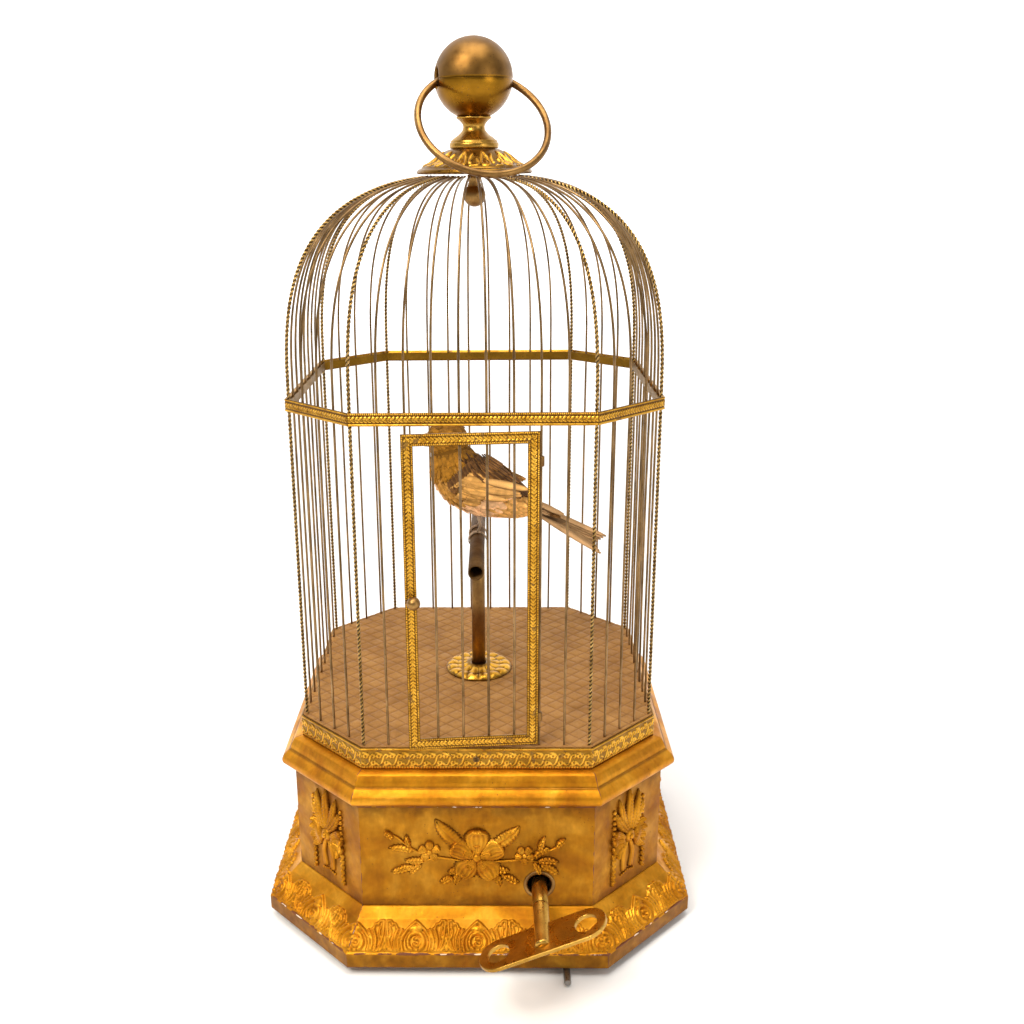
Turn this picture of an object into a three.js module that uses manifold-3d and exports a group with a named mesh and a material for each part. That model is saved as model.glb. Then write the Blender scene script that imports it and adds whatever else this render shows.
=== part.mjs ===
// A singing-bird automaton: an octagonal wire cage on a carved, gilded wooden base that hides a
// clockwork movement. Millimetres, +Z up, the door on the -Y side. The origin is the centre of the
// foot frame's sole. Heights in the constants are taken from the plinth's underside, and the whole
// model is raised by the height of the foot frame at the end.
import * as THREE from 'three';
import { mergeVertices } from 'three/addons/utils/BufferGeometryUtils.js';
import Module from 'manifold-3d';

const wasm = await Module();
wasm.setup();

// ---- driving dimensions -------------------------------------------------------------------------
const GAP = 0.3; // clearance between pieces that touch
const CAGE_HALF = 112; // centre plane of the cage wires on the wide faces
const WIDE_FACE = 140; // length of a wide cage face between its twisted corner wires
const FEET_HEIGHT = 6;
const RUNNER_WIDTH = 16;
const BASE_HEIGHT = 126.2; // bottom board's underside to the cornice's top
const MID_RAIL_Z = BASE_HEIGHT + 217.6;
const DOME_Z = MID_RAIL_Z + 6.2; // where the wires start to curve inwards
const CROWN_Z = DOME_Z + 129.5; // underside of the crown cap

const PLINTH_REACH = 30.2; // plinth edge beyond the wire plane
const PLINTH_EDGE = 10.4;
const FRIEZE_REACH = 9.2;
const FRIEZE_Z = 31.3;
const BASE_WALL = 9;
const CORNICE_REACH = 17.1;
const CORNICE_Z = BASE_HEIGHT - 23.5;
const SPRAY_DEPTH = 3;
const SPRAY_HALF = 59;
const BOARD_THICK = 8;
const FLOOR_TOP = BASE_HEIGHT + 15.3;
const BAND_HEIGHT = 14;
const BAND_REACH = 3.7;
const STRIP_THICK = 0.9;
const RAIL_HEIGHT = 7.7;
const SCREW_R = 0.9;

const WIRE_R = 0.75;
const TWIST_R = 1.15;
const WIDE_GAPS = 9; // wire spaces across a wide face
const CORNER_GAPS = 4; // wire spaces across a corner face
const WIRE_TOP_R = 33; // circle on which the wires end below the crown

const DOOR_TOP = MID_RAIL_Z - 3.1;
const DOOR_BOTTOM = BASE_HEIGHT + 16.8;
const DOOR_STRIP = 7;
const DOOR_AJAR = THREE.MathUtils.degToRad(5);
const KNOB_Z = DOOR_BOTTOM + 98;
const KNOB_R = 4;

const BALL_R = 24.2;
const BALL_Z = CROWN_Z + 32.1 + BALL_R; // the neck holds the ball this far above the crown
const RING_R = 39.7;
const RING_WIRE_R = 2.2;
// how far the ring bows within the ball; the hole leaves room for half of it on each side
const RING_BOW = RING_R - Math.sqrt(RING_R ** 2 - BALL_R ** 2);
const RING_YAW = THREE.MathUtils.degToRad(15);
const RING_REST = THREE.MathUtils.degToRad(48.5); // below the horizontal

const PERCH_Z = FLOOR_TOP + 98.5;
const PERCH_R = 5;
const PERCH_BORE = 4.3;
const PERCH_HALF = 72;
const POST_R = 4.7;
const POST_BORE = 3.6;
const ROSETTE_R = 23.3;

const KEY_X = 39.5;
const KEY_Z = 47;
const KEY_HOLE_R = 9;
const KEY_SHAFT_R = 4.9;
const KEY_END = -(CAGE_HALF + 69.5);
const HANDLE_LENGTH = 81;
const HANDLE_WIDTH = 25.5;
const HANDLE_THICK = 2.5;
const HANDLE_EYES = 55.7;
const HANDLE_EYE_R = 7;
const HANDLE_TILT = THREE.MathUtils.degToRad(22.9);

const LEVER_X = 56.5;
const LEVER_TIP = -(CAGE_HALF + 40);
const LEVER_PIVOT = -(CAGE_HALF - 34);
const LEVER_R = 2.15;

const PLATE_FRONT = -(CAGE_HALF - 26); // front face of the movement's front plate
const PLATE_THICK = 2;
const PLATE_SPAN = 46; // between the two plates
const WHEEL_TEETH = 36;
const BARREL_MODULE = 1.6;
const WHEEL_MODULE = 1.3;
const PINION_TEETH = 12;

// ---- materials ----------------------------------------------------------------------------------
const finish = (color, roughness, metalness) => () =>
  new THREE.MeshStandardMaterial({ color, roughness, metalness });
const gilt = finish(0xb8842c, 0.45, 0.7);
const brass = finish(0xb98b3c, 0.35, 0.9);
const agedBrass = finish(0x7a5a2c, 0.45, 0.9);
const steel = finish(0x77736c, 0.4, 0.9);
const leather = finish(0xc09a6c, 0.8, 0);
const rawWood = finish(0x8a6238, 0.75, 0);
const oliveFeather = finish(0x8a7430, 0.9, 0);
const paleFeather = finish(0xc9a070, 0.9, 0);
const horn = finish(0x5a4632, 0.5, 0);

// ---- solids -------------------------------------------------------------------------------------
const model = new THREE.Group();

function solid(geometry) {
  const bare = geometry.clone();
  for (const name of Object.keys(bare.attributes)) if (name !== 'position') bare.deleteAttribute(name);
  const merged = mergeVertices(bare, 1e-4);
  const mesh = new wasm.Mesh({
    numProp: 3,
    vertProperties: Float32Array.from(merged.attributes.position.array),
    triVerts: Uint32Array.from(merged.index.array),
  });
  return new wasm.Manifold(mesh);
}

function geometryOf(manifold) {
  const mesh = manifold.getMesh();
  const geometry = new THREE.BufferGeometry();
  geometry.setAttribute('position', new THREE.BufferAttribute(Float32Array.from(mesh.vertProperties), 3));
  geometry.setIndex(new THREE.BufferAttribute(Uint32Array.from(mesh.triVerts), 1));
  geometry.computeVertexNormals();
  return geometry;
}

function join(...geometries) {
  return geometryOf(geometries.map(solid).reduce((whole, part) => whole.add(part)));
}

function cut(geometry, ...tools) {
  return geometryOf(tools.map(solid).reduce((whole, tool) => whole.subtract(tool), solid(geometry)));
}

function place(name, geometry, material, parent = model) {
  const mesh = new THREE.Mesh(geometry, material());
  mesh.name = name;
  parent.add(mesh);
  return mesh;
}

const at = (geometry, x, y, z) => geometry.translate(x, y, z);
const box = (x, y, z) => new THREE.BoxGeometry(x, y, z);
const rodZ = (r, z0, z1, sides = 16) =>
  new THREE.CylinderGeometry(r, r, z1 - z0, sides).rotateX(Math.PI / 2).translate(0, 0, (z0 + z1) / 2);
const rodY = (r, y0, y1, sides = 16) =>
  new THREE.CylinderGeometry(r, r, y1 - y0, sides).translate(0, (y0 + y1) / 2, 0);
const rodX = (r, x0, x1, sides = 16) =>
  new THREE.CylinderGeometry(r, r, x1 - x0, sides).rotateZ(Math.PI / 2).translate((x0 + x1) / 2, 0, 0);
// a turned piece: [radius, height] pairs from the axis back to the axis, or round a closed outline
const turned = (outline, sides) =>
  new THREE.LatheGeometry(outline.map(([r, z]) => new THREE.Vector2(r, z)), sides).rotateX(Math.PI / 2);
const slab = (points, thick) =>
  new THREE.ExtrudeGeometry(new THREE.Shape(points.map(([x, y]) => new THREE.Vector2(x, y))), {
    depth: thick, bevelEnabled: false,
  });

// ---- the octagon ----------------------------------------------------------------------------------
// every octagon is an offset of the one through the wires, so all the mitres line up
function octagon(half) {
  const run = WIDE_FACE / 2 + Math.tan(Math.PI / 8) * (half - CAGE_HALF);
  return [[-run, -half], [run, -half], [half, -run], [half, run],
    [run, half], [-run, half], [-half, run], [-half, -run]];
}

const plate = (half, z0, z1) => at(slab(octagon(half), z1 - z0), 0, 0, z0);

// a mitred octagonal moulding: the closed outline gives [half-width, height] anticlockwise, seen with
// the half-width to the right and the height up
function moulding(outline) {
  const rings = outline.map(([half, z]) => octagon(half).map(([x, y]) => [x, y, z]));
  const positions = rings.flat(2);
  const index = [];
  rings.forEach((ring, i) => {
    const next = (i + 1) % rings.length;
    ring.forEach((_, k) => {
      const after = (k + 1) % ring.length;
      const [a, b, c, d] = [i * 8 + k, i * 8 + after, next * 8 + after, next * 8 + k];
      index.push(a, b, c, a, c, d);
    });
  });
  const geometry = new THREE.BufferGeometry();
  geometry.setAttribute('position', new THREE.Float32BufferAttribute(positions, 3));
  geometry.setIndex(index);
  geometry.computeVertexNormals();
  return geometry;
}

// ---- the base -----------------------------------------------------------------------------------
const plinthHalf = CAGE_HALF + PLINTH_REACH;
const friezeHalf = CAGE_HALF + FRIEZE_REACH;
const corniceHalf = CAGE_HALF + CORNICE_REACH;
const wallInner = friezeHalf - BASE_WALL;

function buildPlinth() {
  const seat = FRIEZE_Z - GAP;
  return moulding([
    [wallInner, 0], [plinthHalf, 0], [plinthHalf, PLINTH_EDGE - 1.2], [plinthHalf - 1.2, PLINTH_EDGE],
    [friezeHalf + 9, seat - 5], [friezeHalf + 1.2, seat - 0.8], [friezeHalf - 1, seat], [wallInner, seat],
  ]);
}

function buildFrieze() {
  const walls = moulding([
    [wallInner, FRIEZE_Z], [friezeHalf, FRIEZE_Z], [friezeHalf, CORNICE_Z], [wallInner, CORNICE_Z],
  ]);
  return cut(walls, at(rodY(KEY_HOLE_R + GAP, -friezeHalf - 5, -wallInner + 5, 16), KEY_X, 0, KEY_Z));
}

function buildCornice() {
  const foot = CORNICE_Z + GAP;
  const top = BASE_HEIGHT;
  return moulding([
    [wallInner - 10, foot], [friezeHalf + 0.8, foot], [friezeHalf + 3, foot + 2.5],
    [corniceHalf - 1, foot + 5], [corniceHalf, foot + 7.5], [corniceHalf - 0.6, foot + 11],
    [corniceHalf - 3.2, foot + 14], [corniceHalf - 5.6, foot + 17.5], [corniceHalf - 6.6, foot + 21],
    [corniceHalf - 8.4, top - 0.8], [CAGE_HALF + BAND_REACH + 0.8, top], [wallInner - 10, top],
  ]);
}

function buildBottomBoard() {
  const slot = at(box(14, 24, BOARD_THICK * 3), LEVER_X, LEVER_PIVOT, 0);
  return cut(plate(wallInner - GAP, 0, BOARD_THICK), slot);
}

// two runners joined by a batten across the middle
function buildFootFrame() {
  const reach = wallInner - 1.6 * RUNNER_WIDTH;
  const tall = FEET_HEIGHT - GAP;
  const runners = [-1, 1].map((side) => at(
    box(RUNNER_WIDTH, WIDE_FACE + RUNNER_WIDTH, tall), side * reach, 0, 0));
  return at(join(...runners, box(2 * reach, RUNNER_WIDTH, tall)), 0, 0, -(FEET_HEIGHT + GAP) / 2);
}

function buildKeyLining() {
  const outer = KEY_HOLE_R;
  const bore = KEY_SHAFT_R + 2.6;
  const face = friezeHalf + 0.9;
  const outline = [
    [bore, wallInner], [outer, wallInner], [outer, friezeHalf + GAP], [outer + 1.1, friezeHalf + GAP],
    [outer + 0.7, face], [bore + 0.4, face], [bore, face - 0.5], [bore, wallInner],
  ];
  return at(turned(outline, 16).rotateX(Math.PI / 2), KEY_X, 0, KEY_Z);
}

// carved trails laid on the frieze: a flower with petals, and leaves along a stem
function petals(count, inner, outer, steps = 3) {
  const points = [];
  for (let i = 0; i < count * steps; i += 1) {
    const a = (2 * Math.PI * i) / (count * steps);
    const r = inner + (outer - inner) * Math.abs(Math.sin((a * count) / 2));
    points.push([r * Math.cos(a), r * Math.sin(a)]);
  }
  return points;
}

function leaf(x, z, length, width, angle) {
  const points = [[0, 0], [0.5, 0.5], [1, 0], [0.5, -0.5]]
    .map(([u, v]) => [u * length, v * width])
    .map(([u, v]) => [x + u * Math.cos(angle) - v * Math.sin(angle),
      z + u * Math.sin(angle) + v * Math.cos(angle)]);
  return slab(points, SPRAY_DEPTH * 0.8);
}

// on the XY plane, standing up +Z from it; turned on to a wall afterwards
function spray() {
  const flower = slab(petals(5, 10, 20), SPRAY_DEPTH);
  const side = rodZ(8, 0, SPRAY_DEPTH, 7);
  const stem = box(2 * SPRAY_HALF - 18, 3.4, SPRAY_DEPTH * 0.7);
  const leaves = [
    leaf(-7, 3, 30, 9, 2.4), leaf(7, 3, 30, 9, 0.75), leaf(-5, -5, 21, 9, -2.1), leaf(5, -5, 21, 9, -0.9),
    leaf(-38, 0, 18, 8, 2.3), leaf(38, 0, 18, 8, 0.8), leaf(-40, 0, 16, 8, -2.5), leaf(40, 0, 16, 8, -0.6),
  ];
  return join(flower, at(side.clone(), -30, 0, 0), at(side, 30, 0, 0), at(stem, 0, 0, SPRAY_DEPTH * 0.35),
    ...leaves);
}

function cornerSpray() {
  const stem = box(3.4, 60, SPRAY_DEPTH * 0.7);
  return join(slab(petals(5, 6, 13), SPRAY_DEPTH), at(stem, 0, 0, SPRAY_DEPTH * 0.35),
    leaf(0, 10, 22, 14, Math.PI / 2), leaf(0, -10, 24, 14, -Math.PI / 2),
    leaf(-2, 2, 21, 8, 2.2), leaf(2, 2, 21, 8, 0.94), leaf(-2, -2, 21, 8, -2.2), leaf(2, -2, 21, 8, -0.94));
}

// stands a piece made on the XY plane against the frieze face that looks along the given turn
function againstFrieze(geometry, turn) {
  geometry.rotateX(Math.PI / 2).translate(0, -friezeHalf - GAP, (FRIEZE_Z + CORNICE_Z) / 2);
  const reach = turn % 2 === 0 ? 0 : cornerShift();
  return geometry.translate(0, -reach, 0).rotateZ((turn * Math.PI) / 4);
}

// a corner face stands this much further from the axis than a wide face
function cornerShift() {
  const [[, ], [x, y]] = octagon(friezeHalf);
  return (x - y) / Math.SQRT2 - friezeHalf;
}

function addBase() {
  place('plinth', buildPlinth(), gilt);
  place('frieze', buildFrieze(), gilt);
  place('cornice', buildCornice(), gilt);
  place('bottom_board', buildBottomBoard(), rawWood);
  place('foot_frame', buildFootFrame(), rawWood);
  place('key_hole_lining', buildKeyLining(), brass);
  ['front', 'right', 'back', 'left'].forEach((name, i) => {
    place(`spray_${name}`, againstFrieze(spray(), 2 * i), gilt);
  });
  ['front_right', 'back_right', 'back_left', 'front_left'].forEach((name, i) => {
    place(`corner_spray_${name}`, againstFrieze(cornerSpray(), 2 * i + 1), gilt);
  });
}

// ---- the cage floor, bands and wires --------------------------------------------------------------
const bandFoot = BASE_HEIGHT + GAP;
const bandTop = bandFoot + BAND_HEIGHT;
const bandInner = CAGE_HALF + BAND_REACH - STRIP_THICK;
const railInner = CAGE_HALF + TWIST_R + GAP;
const stripOuter = CAGE_HALF - WIRE_R + 0.3;
const stripInner = stripOuter - STRIP_THICK;
const STRIP_SPARE = 0.53; // a corner face's strip stops this short of the corners that it carries

function buildBand() {
  const outer = CAGE_HALF + BAND_REACH;
  const band = moulding([
    [bandInner, bandFoot], [outer, bandFoot], [outer, bandTop], [bandInner, bandTop],
  ]);
  return cut(band, at(rodY(SCREW_R + GAP, -outer - 2, -bandInner + 2, 8), 0, 0, bandFoot + BAND_HEIGHT / 2));
}

function buildScrew() {
  const face = -CAGE_HALF - BAND_REACH - GAP;
  const screw = join(rodY(1.6, face - 0.8, face, 12), rodY(SCREW_R, face - 0.4, face + 1.4, 8));
  return at(screw, 0, 0, bandFoot + BAND_HEIGHT / 2);
}

function buildFloor() {
  const board = plate(stripInner - GAP, BASE_HEIGHT + GAP, FLOOR_TOP);
  return cut(board, rodZ(POST_R + GAP, BASE_HEIGHT - 5, FLOOR_TOP + 5, 16));
}

function buildMidRail() {
  const outer = CAGE_HALF + 2;
  const top = MID_RAIL_Z + RAIL_HEIGHT;
  return moulding([
    [railInner, MID_RAIL_Z], [outer + 0.2, MID_RAIL_Z], [outer + 0.2, top], [railInner, top],
  ]);
}

// the eight faces of the cage: two corners each, in the octagon's order
const cageCorners = octagon(CAGE_HALF).map(([x, y]) => new THREE.Vector2(x, y));
const wireFoot = bandFoot + 1;
const stripZ = MID_RAIL_Z + 1.2;
const stripHeight = RAIL_HEIGHT - 2.4;
const seam = stripZ + stripHeight / 2; // where a lower wire meets its dome wire, inside the strips

// places of the wires of one face, corner wires left out
function wirePlaces(face) {
  const [a, b] = [cageCorners[face], cageCorners[(face + 1) % 8]];
  const gaps = face % 2 === 0 ? WIDE_GAPS : CORNER_GAPS;
  return Array.from({ length: gaps - 1 }, (_, i) => a.clone().lerp(b, (i + 1) / gaps));
}

// a dome wire follows a rounded corner, reach ** 3 + rise ** 3 = 1, cut off at the top share of its reach
const TOP_SHARE = 0.3;
const domeRise = (CROWN_Z - GAP - TWIST_R - DOME_Z) / Math.cbrt(1 - TOP_SHARE ** 3);
function domeShare(z) {
  const t = Math.min(1, Math.max(0, (z - DOME_Z) / domeRise));
  return Math.cbrt(1 - t ** 3);
}

const DOME_STEPS = 6;
function domePath(spot) {
  const reach = spot.length();
  const way = spot.clone().normalize();
  const last = Math.asin(Math.sqrt(1 - TOP_SHARE ** 3));
  return Array.from({ length: DOME_STEPS + 1 }, (_, i) => {
    const t = Math.sin((last * i) / DOME_STEPS) ** (2 / 3);
    const z = i === 0 ? seam + GAP / 2 : DOME_Z + domeRise * t;
    const share = (domeShare(z) - TOP_SHARE) / (1 - TOP_SHARE);
    const r = WIRE_TOP_R + (reach - WIRE_TOP_R) * share;
    return new THREE.Vector3(way.x * r, way.y * r, z);
  });
}

// a rod of square section along points that lie in one upright plane through the axis
function sweptRod(points, radius) {
  const side = new THREE.Vector3(-points[0].y, points[0].x, 0).normalize();
  const positions = [];
  points.forEach((point, i) => {
    const before = points[Math.max(0, i - 1)];
    const after = points[Math.min(points.length - 1, i + 1)];
    const along = after.clone().sub(before).normalize();
    const across = along.clone().cross(side);
    for (let k = 0; k < 4; k += 1) {
      const angle = (k * Math.PI) / 2 + Math.PI / 4;
      const corner = point.clone().addScaledVector(side, Math.cos(angle) * radius)
        .addScaledVector(across, Math.sin(angle) * radius);
      positions.push(corner.x, corner.y, corner.z);
    }
  });
  const index = [0, 2, 1, 0, 3, 2];
  for (let i = 0; i < points.length - 1; i += 1) {
    for (let k = 0; k < 4; k += 1) {
      const [a, b] = [4 * i + k, 4 * i + ((k + 1) % 4)];
      index.push(a, b, b + 4, a, b + 4, a + 4);
    }
  }
  const end = 4 * (points.length - 1);
  index.push(end, end + 1, end + 2, end, end + 2, end + 3);
  const geometry = new THREE.BufferGeometry();
  geometry.setAttribute('position', new THREE.Float32BufferAttribute(positions, 3));
  geometry.setIndex(index);
  return geometry;
}

const lowerRod = (spot, radius, foot = wireFoot) => sweptRod(
  [new THREE.Vector3(spot.x, spot.y, foot), new THREE.Vector3(spot.x, spot.y, seam - GAP / 2)], radius);

// the flat strip that carries a face's wires from the inside, between two shares of the face's length
function strip(face, z0, z1, from = 0, to = 1) {
  const inner = octagon(stripInner).map(([x, y]) => new THREE.Vector2(x, y));
  const outer = octagon(stripOuter).map(([x, y]) => new THREE.Vector2(x, y));
  const end = (ring, share) => ring[face].clone().lerp(ring[(face + 1) % 8], share);
  const spare = face % 2 === 0 ? TWIST_R + 2 * GAP : STRIP_SPARE;
  const trim = spare / outer[face].distanceTo(outer[(face + 1) % 8]);
  const [low, high] = [Math.max(from, trim), Math.min(to, 1 - trim)];
  const points = [end(outer, low), end(outer, high), end(inner, high), end(inner, low)];
  return at(slab(points.map((p) => [p.x, p.y]), z1 - z0), 0, 0, z0);
}

// the twisted corner wires are carried by the corner faces' strips
function lowerPanel(face) {
  const rods = wirePlaces(face).map((spot) => lowerRod(spot, WIRE_R));
  if (face % 2 === 1) {
    rods.push(lowerRod(cageCorners[face], TWIST_R), lowerRod(cageCorners[(face + 1) % 8], TWIST_R));
  }
  return join(strip(face, bandFoot + 2, bandTop - 3), strip(face, stripZ, seam - GAP / 2), ...rods);
}

function domePanel(face) {
  const rods = wirePlaces(face).map((spot) => sweptRod(domePath(spot), WIRE_R));
  if (face % 2 === 1) {
    rods.push(sweptRod(domePath(cageCorners[face]), TWIST_R),
      sweptRod(domePath(cageCorners[(face + 1) % 8]), TWIST_R));
  }
  return join(strip(face, seam + GAP / 2, stripZ + stripHeight), ...rods);
}

// the front face keeps two wires on each side of the door, whose jambs are its third ones
const FRONT_SIDE_WIRES = 2;
function frontPanel(side) {
  const spots = wirePlaces(0);
  const kept = side < 0 ? spots.slice(0, FRONT_SIDE_WIRES) : spots.slice(-FRONT_SIDE_WIRES);
  const share = (FRONT_SIDE_WIRES + 0.12) / WIDE_GAPS;
  const [from, to] = side < 0 ? [0, share] : [1 - share, 1];
  return join(strip(0, bandFoot + 2, bandTop - 3, from, to), strip(0, stripZ, seam - GAP / 2, from, to),
    ...kept.map((spot) => lowerRod(spot, WIRE_R)));
}

const FACES = ['front', 'front_right', 'right', 'back_right', 'back', 'back_left', 'left', 'front_left'];

function addCage() {
  place('cage_floor', buildFloor(), leather);
  place('base_band', buildBand(), brass);
  place('band_screw', buildScrew(), steel);
  place('mid_rail', buildMidRail(), brass);
  FACES.forEach((name, face) => {
    if (face > 0) place(`lower_wires_${name}`, lowerPanel(face), agedBrass);
    place(`dome_wires_${name}`, domePanel(face), agedBrass);
  });
  place('lower_wires_door_left', frontPanel(-1), agedBrass);
  place('lower_wires_door_right', frontPanel(1), agedBrass);
}

// ---- the crown ------------------------------------------------------------------------------------
const crownAt = (h) => CROWN_Z + h;

function buildCap() {
  return turned([
    [0, crownAt(0)], [35.2, crownAt(0)], [36.2, crownAt(0.9)], [34.4, crownAt(3.4)], [30.4, crownAt(5.6)],
    [27.4, crownAt(6.3)], [27.4, crownAt(8)], [22, crownAt(12)], [16.5, crownAt(14.9)], [0, crownAt(14.9)],
  ], 24);
}

function buildNeck() {
  const foot = crownAt(14.9 + GAP);
  const under = (radius) => BALL_Z - Math.sqrt(BALL_R ** 2 - radius ** 2);
  return turned([
    [0, foot], [15, foot], [15.4, foot + 2.4], [14.4, foot + 4.8], [11, foot + 7.4], [7.6, foot + 10],
    [6.8, foot + 12.4], [7.6, foot + 14.6], [10.4, under(10.4) - 1.65], [10.4, under(10.4) - 0.25],
    [7, under(7) - GAP - 0.7], [0, BALL_Z - BALL_R - GAP],
  ], 18);
}

function ringHole() {
  const hole = rodX(RING_WIRE_R + RING_BOW / 2 + 0.5, -BALL_R - 4, BALL_R + 4, 16);
  return hole.rotateZ(RING_YAW).translate(0, 0, BALL_Z);
}

function buildBall() {
  const arc = Array.from({ length: 15 }, (_, i) => {
    const a = -Math.PI / 2 + (Math.PI * i) / 14;
    return [i === 0 || i === 14 ? 0 : BALL_R * Math.cos(a), BALL_Z + BALL_R * Math.sin(a)];
  });
  return cut(turned(arc, 24), ringHole());
}

// the carrying ring goes through the ball; it turns about the hole's axis
function buildRing() {
  const centre = RING_R - RING_BOW / 2;
  const ring = new THREE.TorusGeometry(RING_R, RING_WIRE_R, 6, 36);
  ring.translate(0, -centre, 0).rotateX(RING_REST).rotateZ(RING_YAW).translate(0, 0, BALL_Z);
  return ring;
}

function buildNut() {
  const z = CROWN_Z - 12.7;
  const top = CROWN_Z - GAP;
  const r = 7;
  const arc = Array.from({ length: 7 }, (_, i) => {
    const a = -Math.PI / 2 + ((Math.PI / 2 + 0.95) * i) / 6;
    return [i === 0 ? 0 : r * Math.cos(a), z + r * Math.sin(a)];
  });
  return turned([...arc, [4.4, top - 4], [4.4, top], [0, top]], 12);
}

function addCrown() {
  place('crown_cap', buildCap(), gilt);
  place('crown_neck', buildNeck(), brass);
  place('crown_ball', buildBall(), brass);
  place('carrying_ring', buildRing(), brass);
  place('ball_nut', buildNut(), agedBrass);
}

// ---- the door -------------------------------------------------------------------------------------
const wireStep = WIDE_FACE / WIDE_GAPS;
const hingeX = 2.5 * wireStep; // the door turns on the jamb wire on its right
const doorLeft = -(2.5 * wireStep + 2.4);
const doorRight = hingeX - 0.9;
const doorBack = -CAGE_HALF - WIRE_R - 0.45;
const DOOR_THICK = 1;
const latchX = doorLeft + DOOR_STRIP / 2 + 1.5;
const KNUCKLE_ZS = [DOOR_BOTTOM + 18, DOOR_TOP - 18];

// seen closed; the group turns it about the jamb wire
function buildDoorFrame() {
  const wide = doorRight - doorLeft;
  const tall = DOOR_TOP - DOOR_BOTTOM;
  const [x, y, z] = [(doorLeft + doorRight) / 2, doorBack - DOOR_THICK / 2, (DOOR_TOP + DOOR_BOTTOM) / 2];
  const sheet = at(box(wide, DOOR_THICK, tall), x, y, z);
  const opening = at(box(wide - 2 * DOOR_STRIP, 5, tall - 2 * DOOR_STRIP), x, y, z);
  const knuckles = KNUCKLE_ZS.map((k) => at(rodZ(WIRE_R + 1.1, k - 3, k + 3, 12), hingeX, -CAGE_HALF, 0));
  const bores = KNUCKLE_ZS.map((k) => at(rodZ(WIRE_R + 0.28, k - 5, k + 5, 12), hingeX, -CAGE_HALF, 0));
  const wires = [-1.5, -0.5, 0.5, 1.5].map((n) => at(
    rodZ(WIRE_R, DOOR_BOTTOM + 2, DOOR_TOP - 2, 4), n * wireStep, doorBack - 0.2, 0));
  const whole = join(geometryOf(solid(sheet).subtract(solid(opening))), ...knuckles, ...wires);
  const latchBore = at(rodY(1.1, doorBack - 5, doorBack + 5, 8), latchX, 0, KNOB_Z);
  return cut(whole, ...bores, latchBore);
}

function buildKnob() {
  const front = doorBack - DOOR_THICK;
  const ball = at(new THREE.SphereGeometry(KNOB_R, 14, 10), latchX, front - 1.4 - KNOB_R, KNOB_Z);
  const collar = at(rodY(2.2, front - 2.4, front - GAP, 10), latchX, 0, KNOB_Z);
  const spindle = at(rodY(0.75, front - 2, doorBack + 3.8, 8), latchX, 0, KNOB_Z);
  const tongue = at(box(2.4, 1, 8), latchX, doorBack + 3.4, KNOB_Z + 2.4);
  return join(ball, collar, spindle, tongue);
}

function addDoor() {
  const hinge = new THREE.Group();
  hinge.position.set(hingeX, -CAGE_HALF, 0);
  hinge.rotation.z = DOOR_AJAR;
  model.add(hinge);
  const shift = (geometry) => geometry.translate(-hingeX, CAGE_HALF, 0);
  place('door', shift(buildDoorFrame()), brass, hinge);
  place('door_latch_knob', shift(buildKnob()), brass, hinge);
}

// ---- perch and bird -------------------------------------------------------------------------------
const perchTop = PERCH_Z + PERCH_R;
const postTop = PERCH_Z - PERCH_R - GAP;

function buildPost() {
  const foot = BASE_HEIGHT - 8;
  return turned([[POST_BORE, foot], [POST_R, foot], [POST_R, postTop], [POST_BORE, postTop],
    [POST_BORE, foot]], 16);
}

function buildRosette() {
  const low = FLOOR_TOP + GAP;
  const bore = POST_R + GAP;
  return turned([[bore, low], [ROSETTE_R, low], [ROSETTE_R - 0.6, low + 1.4], [ROSETTE_R - 6, low + 2.6],
    [12, low + 2.2], [bore + 2.4, low + 4.6], [bore, low + 4.6], [bore, low]], 18);
}

function buildPerch() {
  const outline = [[PERCH_BORE, -PERCH_HALF], [PERCH_R, -PERCH_HALF], [PERCH_R, PERCH_HALF],
    [PERCH_BORE, PERCH_HALF], [PERCH_BORE, -PERCH_HALF]];
  return at(turned(outline, 16).rotateX(Math.PI / 2), 0, 0, PERCH_Z);
}

// an egg-shaped piece: radii along X, Y, Z, tipped about Y
function egg([x, z], [rx, ry, rz], tip, around = 10, rings = 8) {
  const shape = new THREE.SphereGeometry(1, around, rings).rotateX(Math.PI / 2).scale(rx, ry, rz);
  return shape.rotateY(tip).translate(x, 0, z);
}

const NECK = [-19, perchTop + 56.5];
function buildBirdBody() {
  const trunk = egg([0, perchTop + 31], [37, 19, 20], 0.42);
  const breast = egg([-15, perchTop + 38], [18.5, 17.5, 19], 0.3);
  const legs = [-1, 1].map((side) => {
    const leg = rodZ(1.1, perchTop + 1.4, perchTop + 17, 6);
    const foot = at(box(11, 2.2, 2), 0, 0, perchTop + GAP + 1);
    return join(leg, foot).translate(1, side * 7, 0);
  });
  const clear = at(new THREE.SphereGeometry(15.6, 10, 7), NECK[0], 0, NECK[1] + 8);
  const seat = at(box(22, 8, 12), 41, 0, perchTop + 16);
  return cut(join(trunk, breast, ...legs), clear, seat);
}

function buildBirdHead() {
  const skull = egg([NECK[0] - 1, NECK[1] + 8], [14.4, 12.6, 13.6], 0.15);
  const upperBeak = new THREE.ConeGeometry(3.4, 10, 8).rotateZ(Math.PI / 2)
    .translate(NECK[0] - 17.5, 0, NECK[1] + 7.5);
  const mouth = at(box(13, 12, 7), NECK[0] - 19, 0, NECK[1] + 2.9);
  const whole = geometryOf(solid(skull).add(solid(upperBeak)));
  return cut(whole, mouth);
}

function buildLowerBeak() {
  return new THREE.ConeGeometry(2.2, 7.5, 6).rotateZ(Math.PI / 2).scale(1, 1, 0.7)
    .translate(NECK[0] - 17.5, 0, NECK[1] + 4.4);
}

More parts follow.
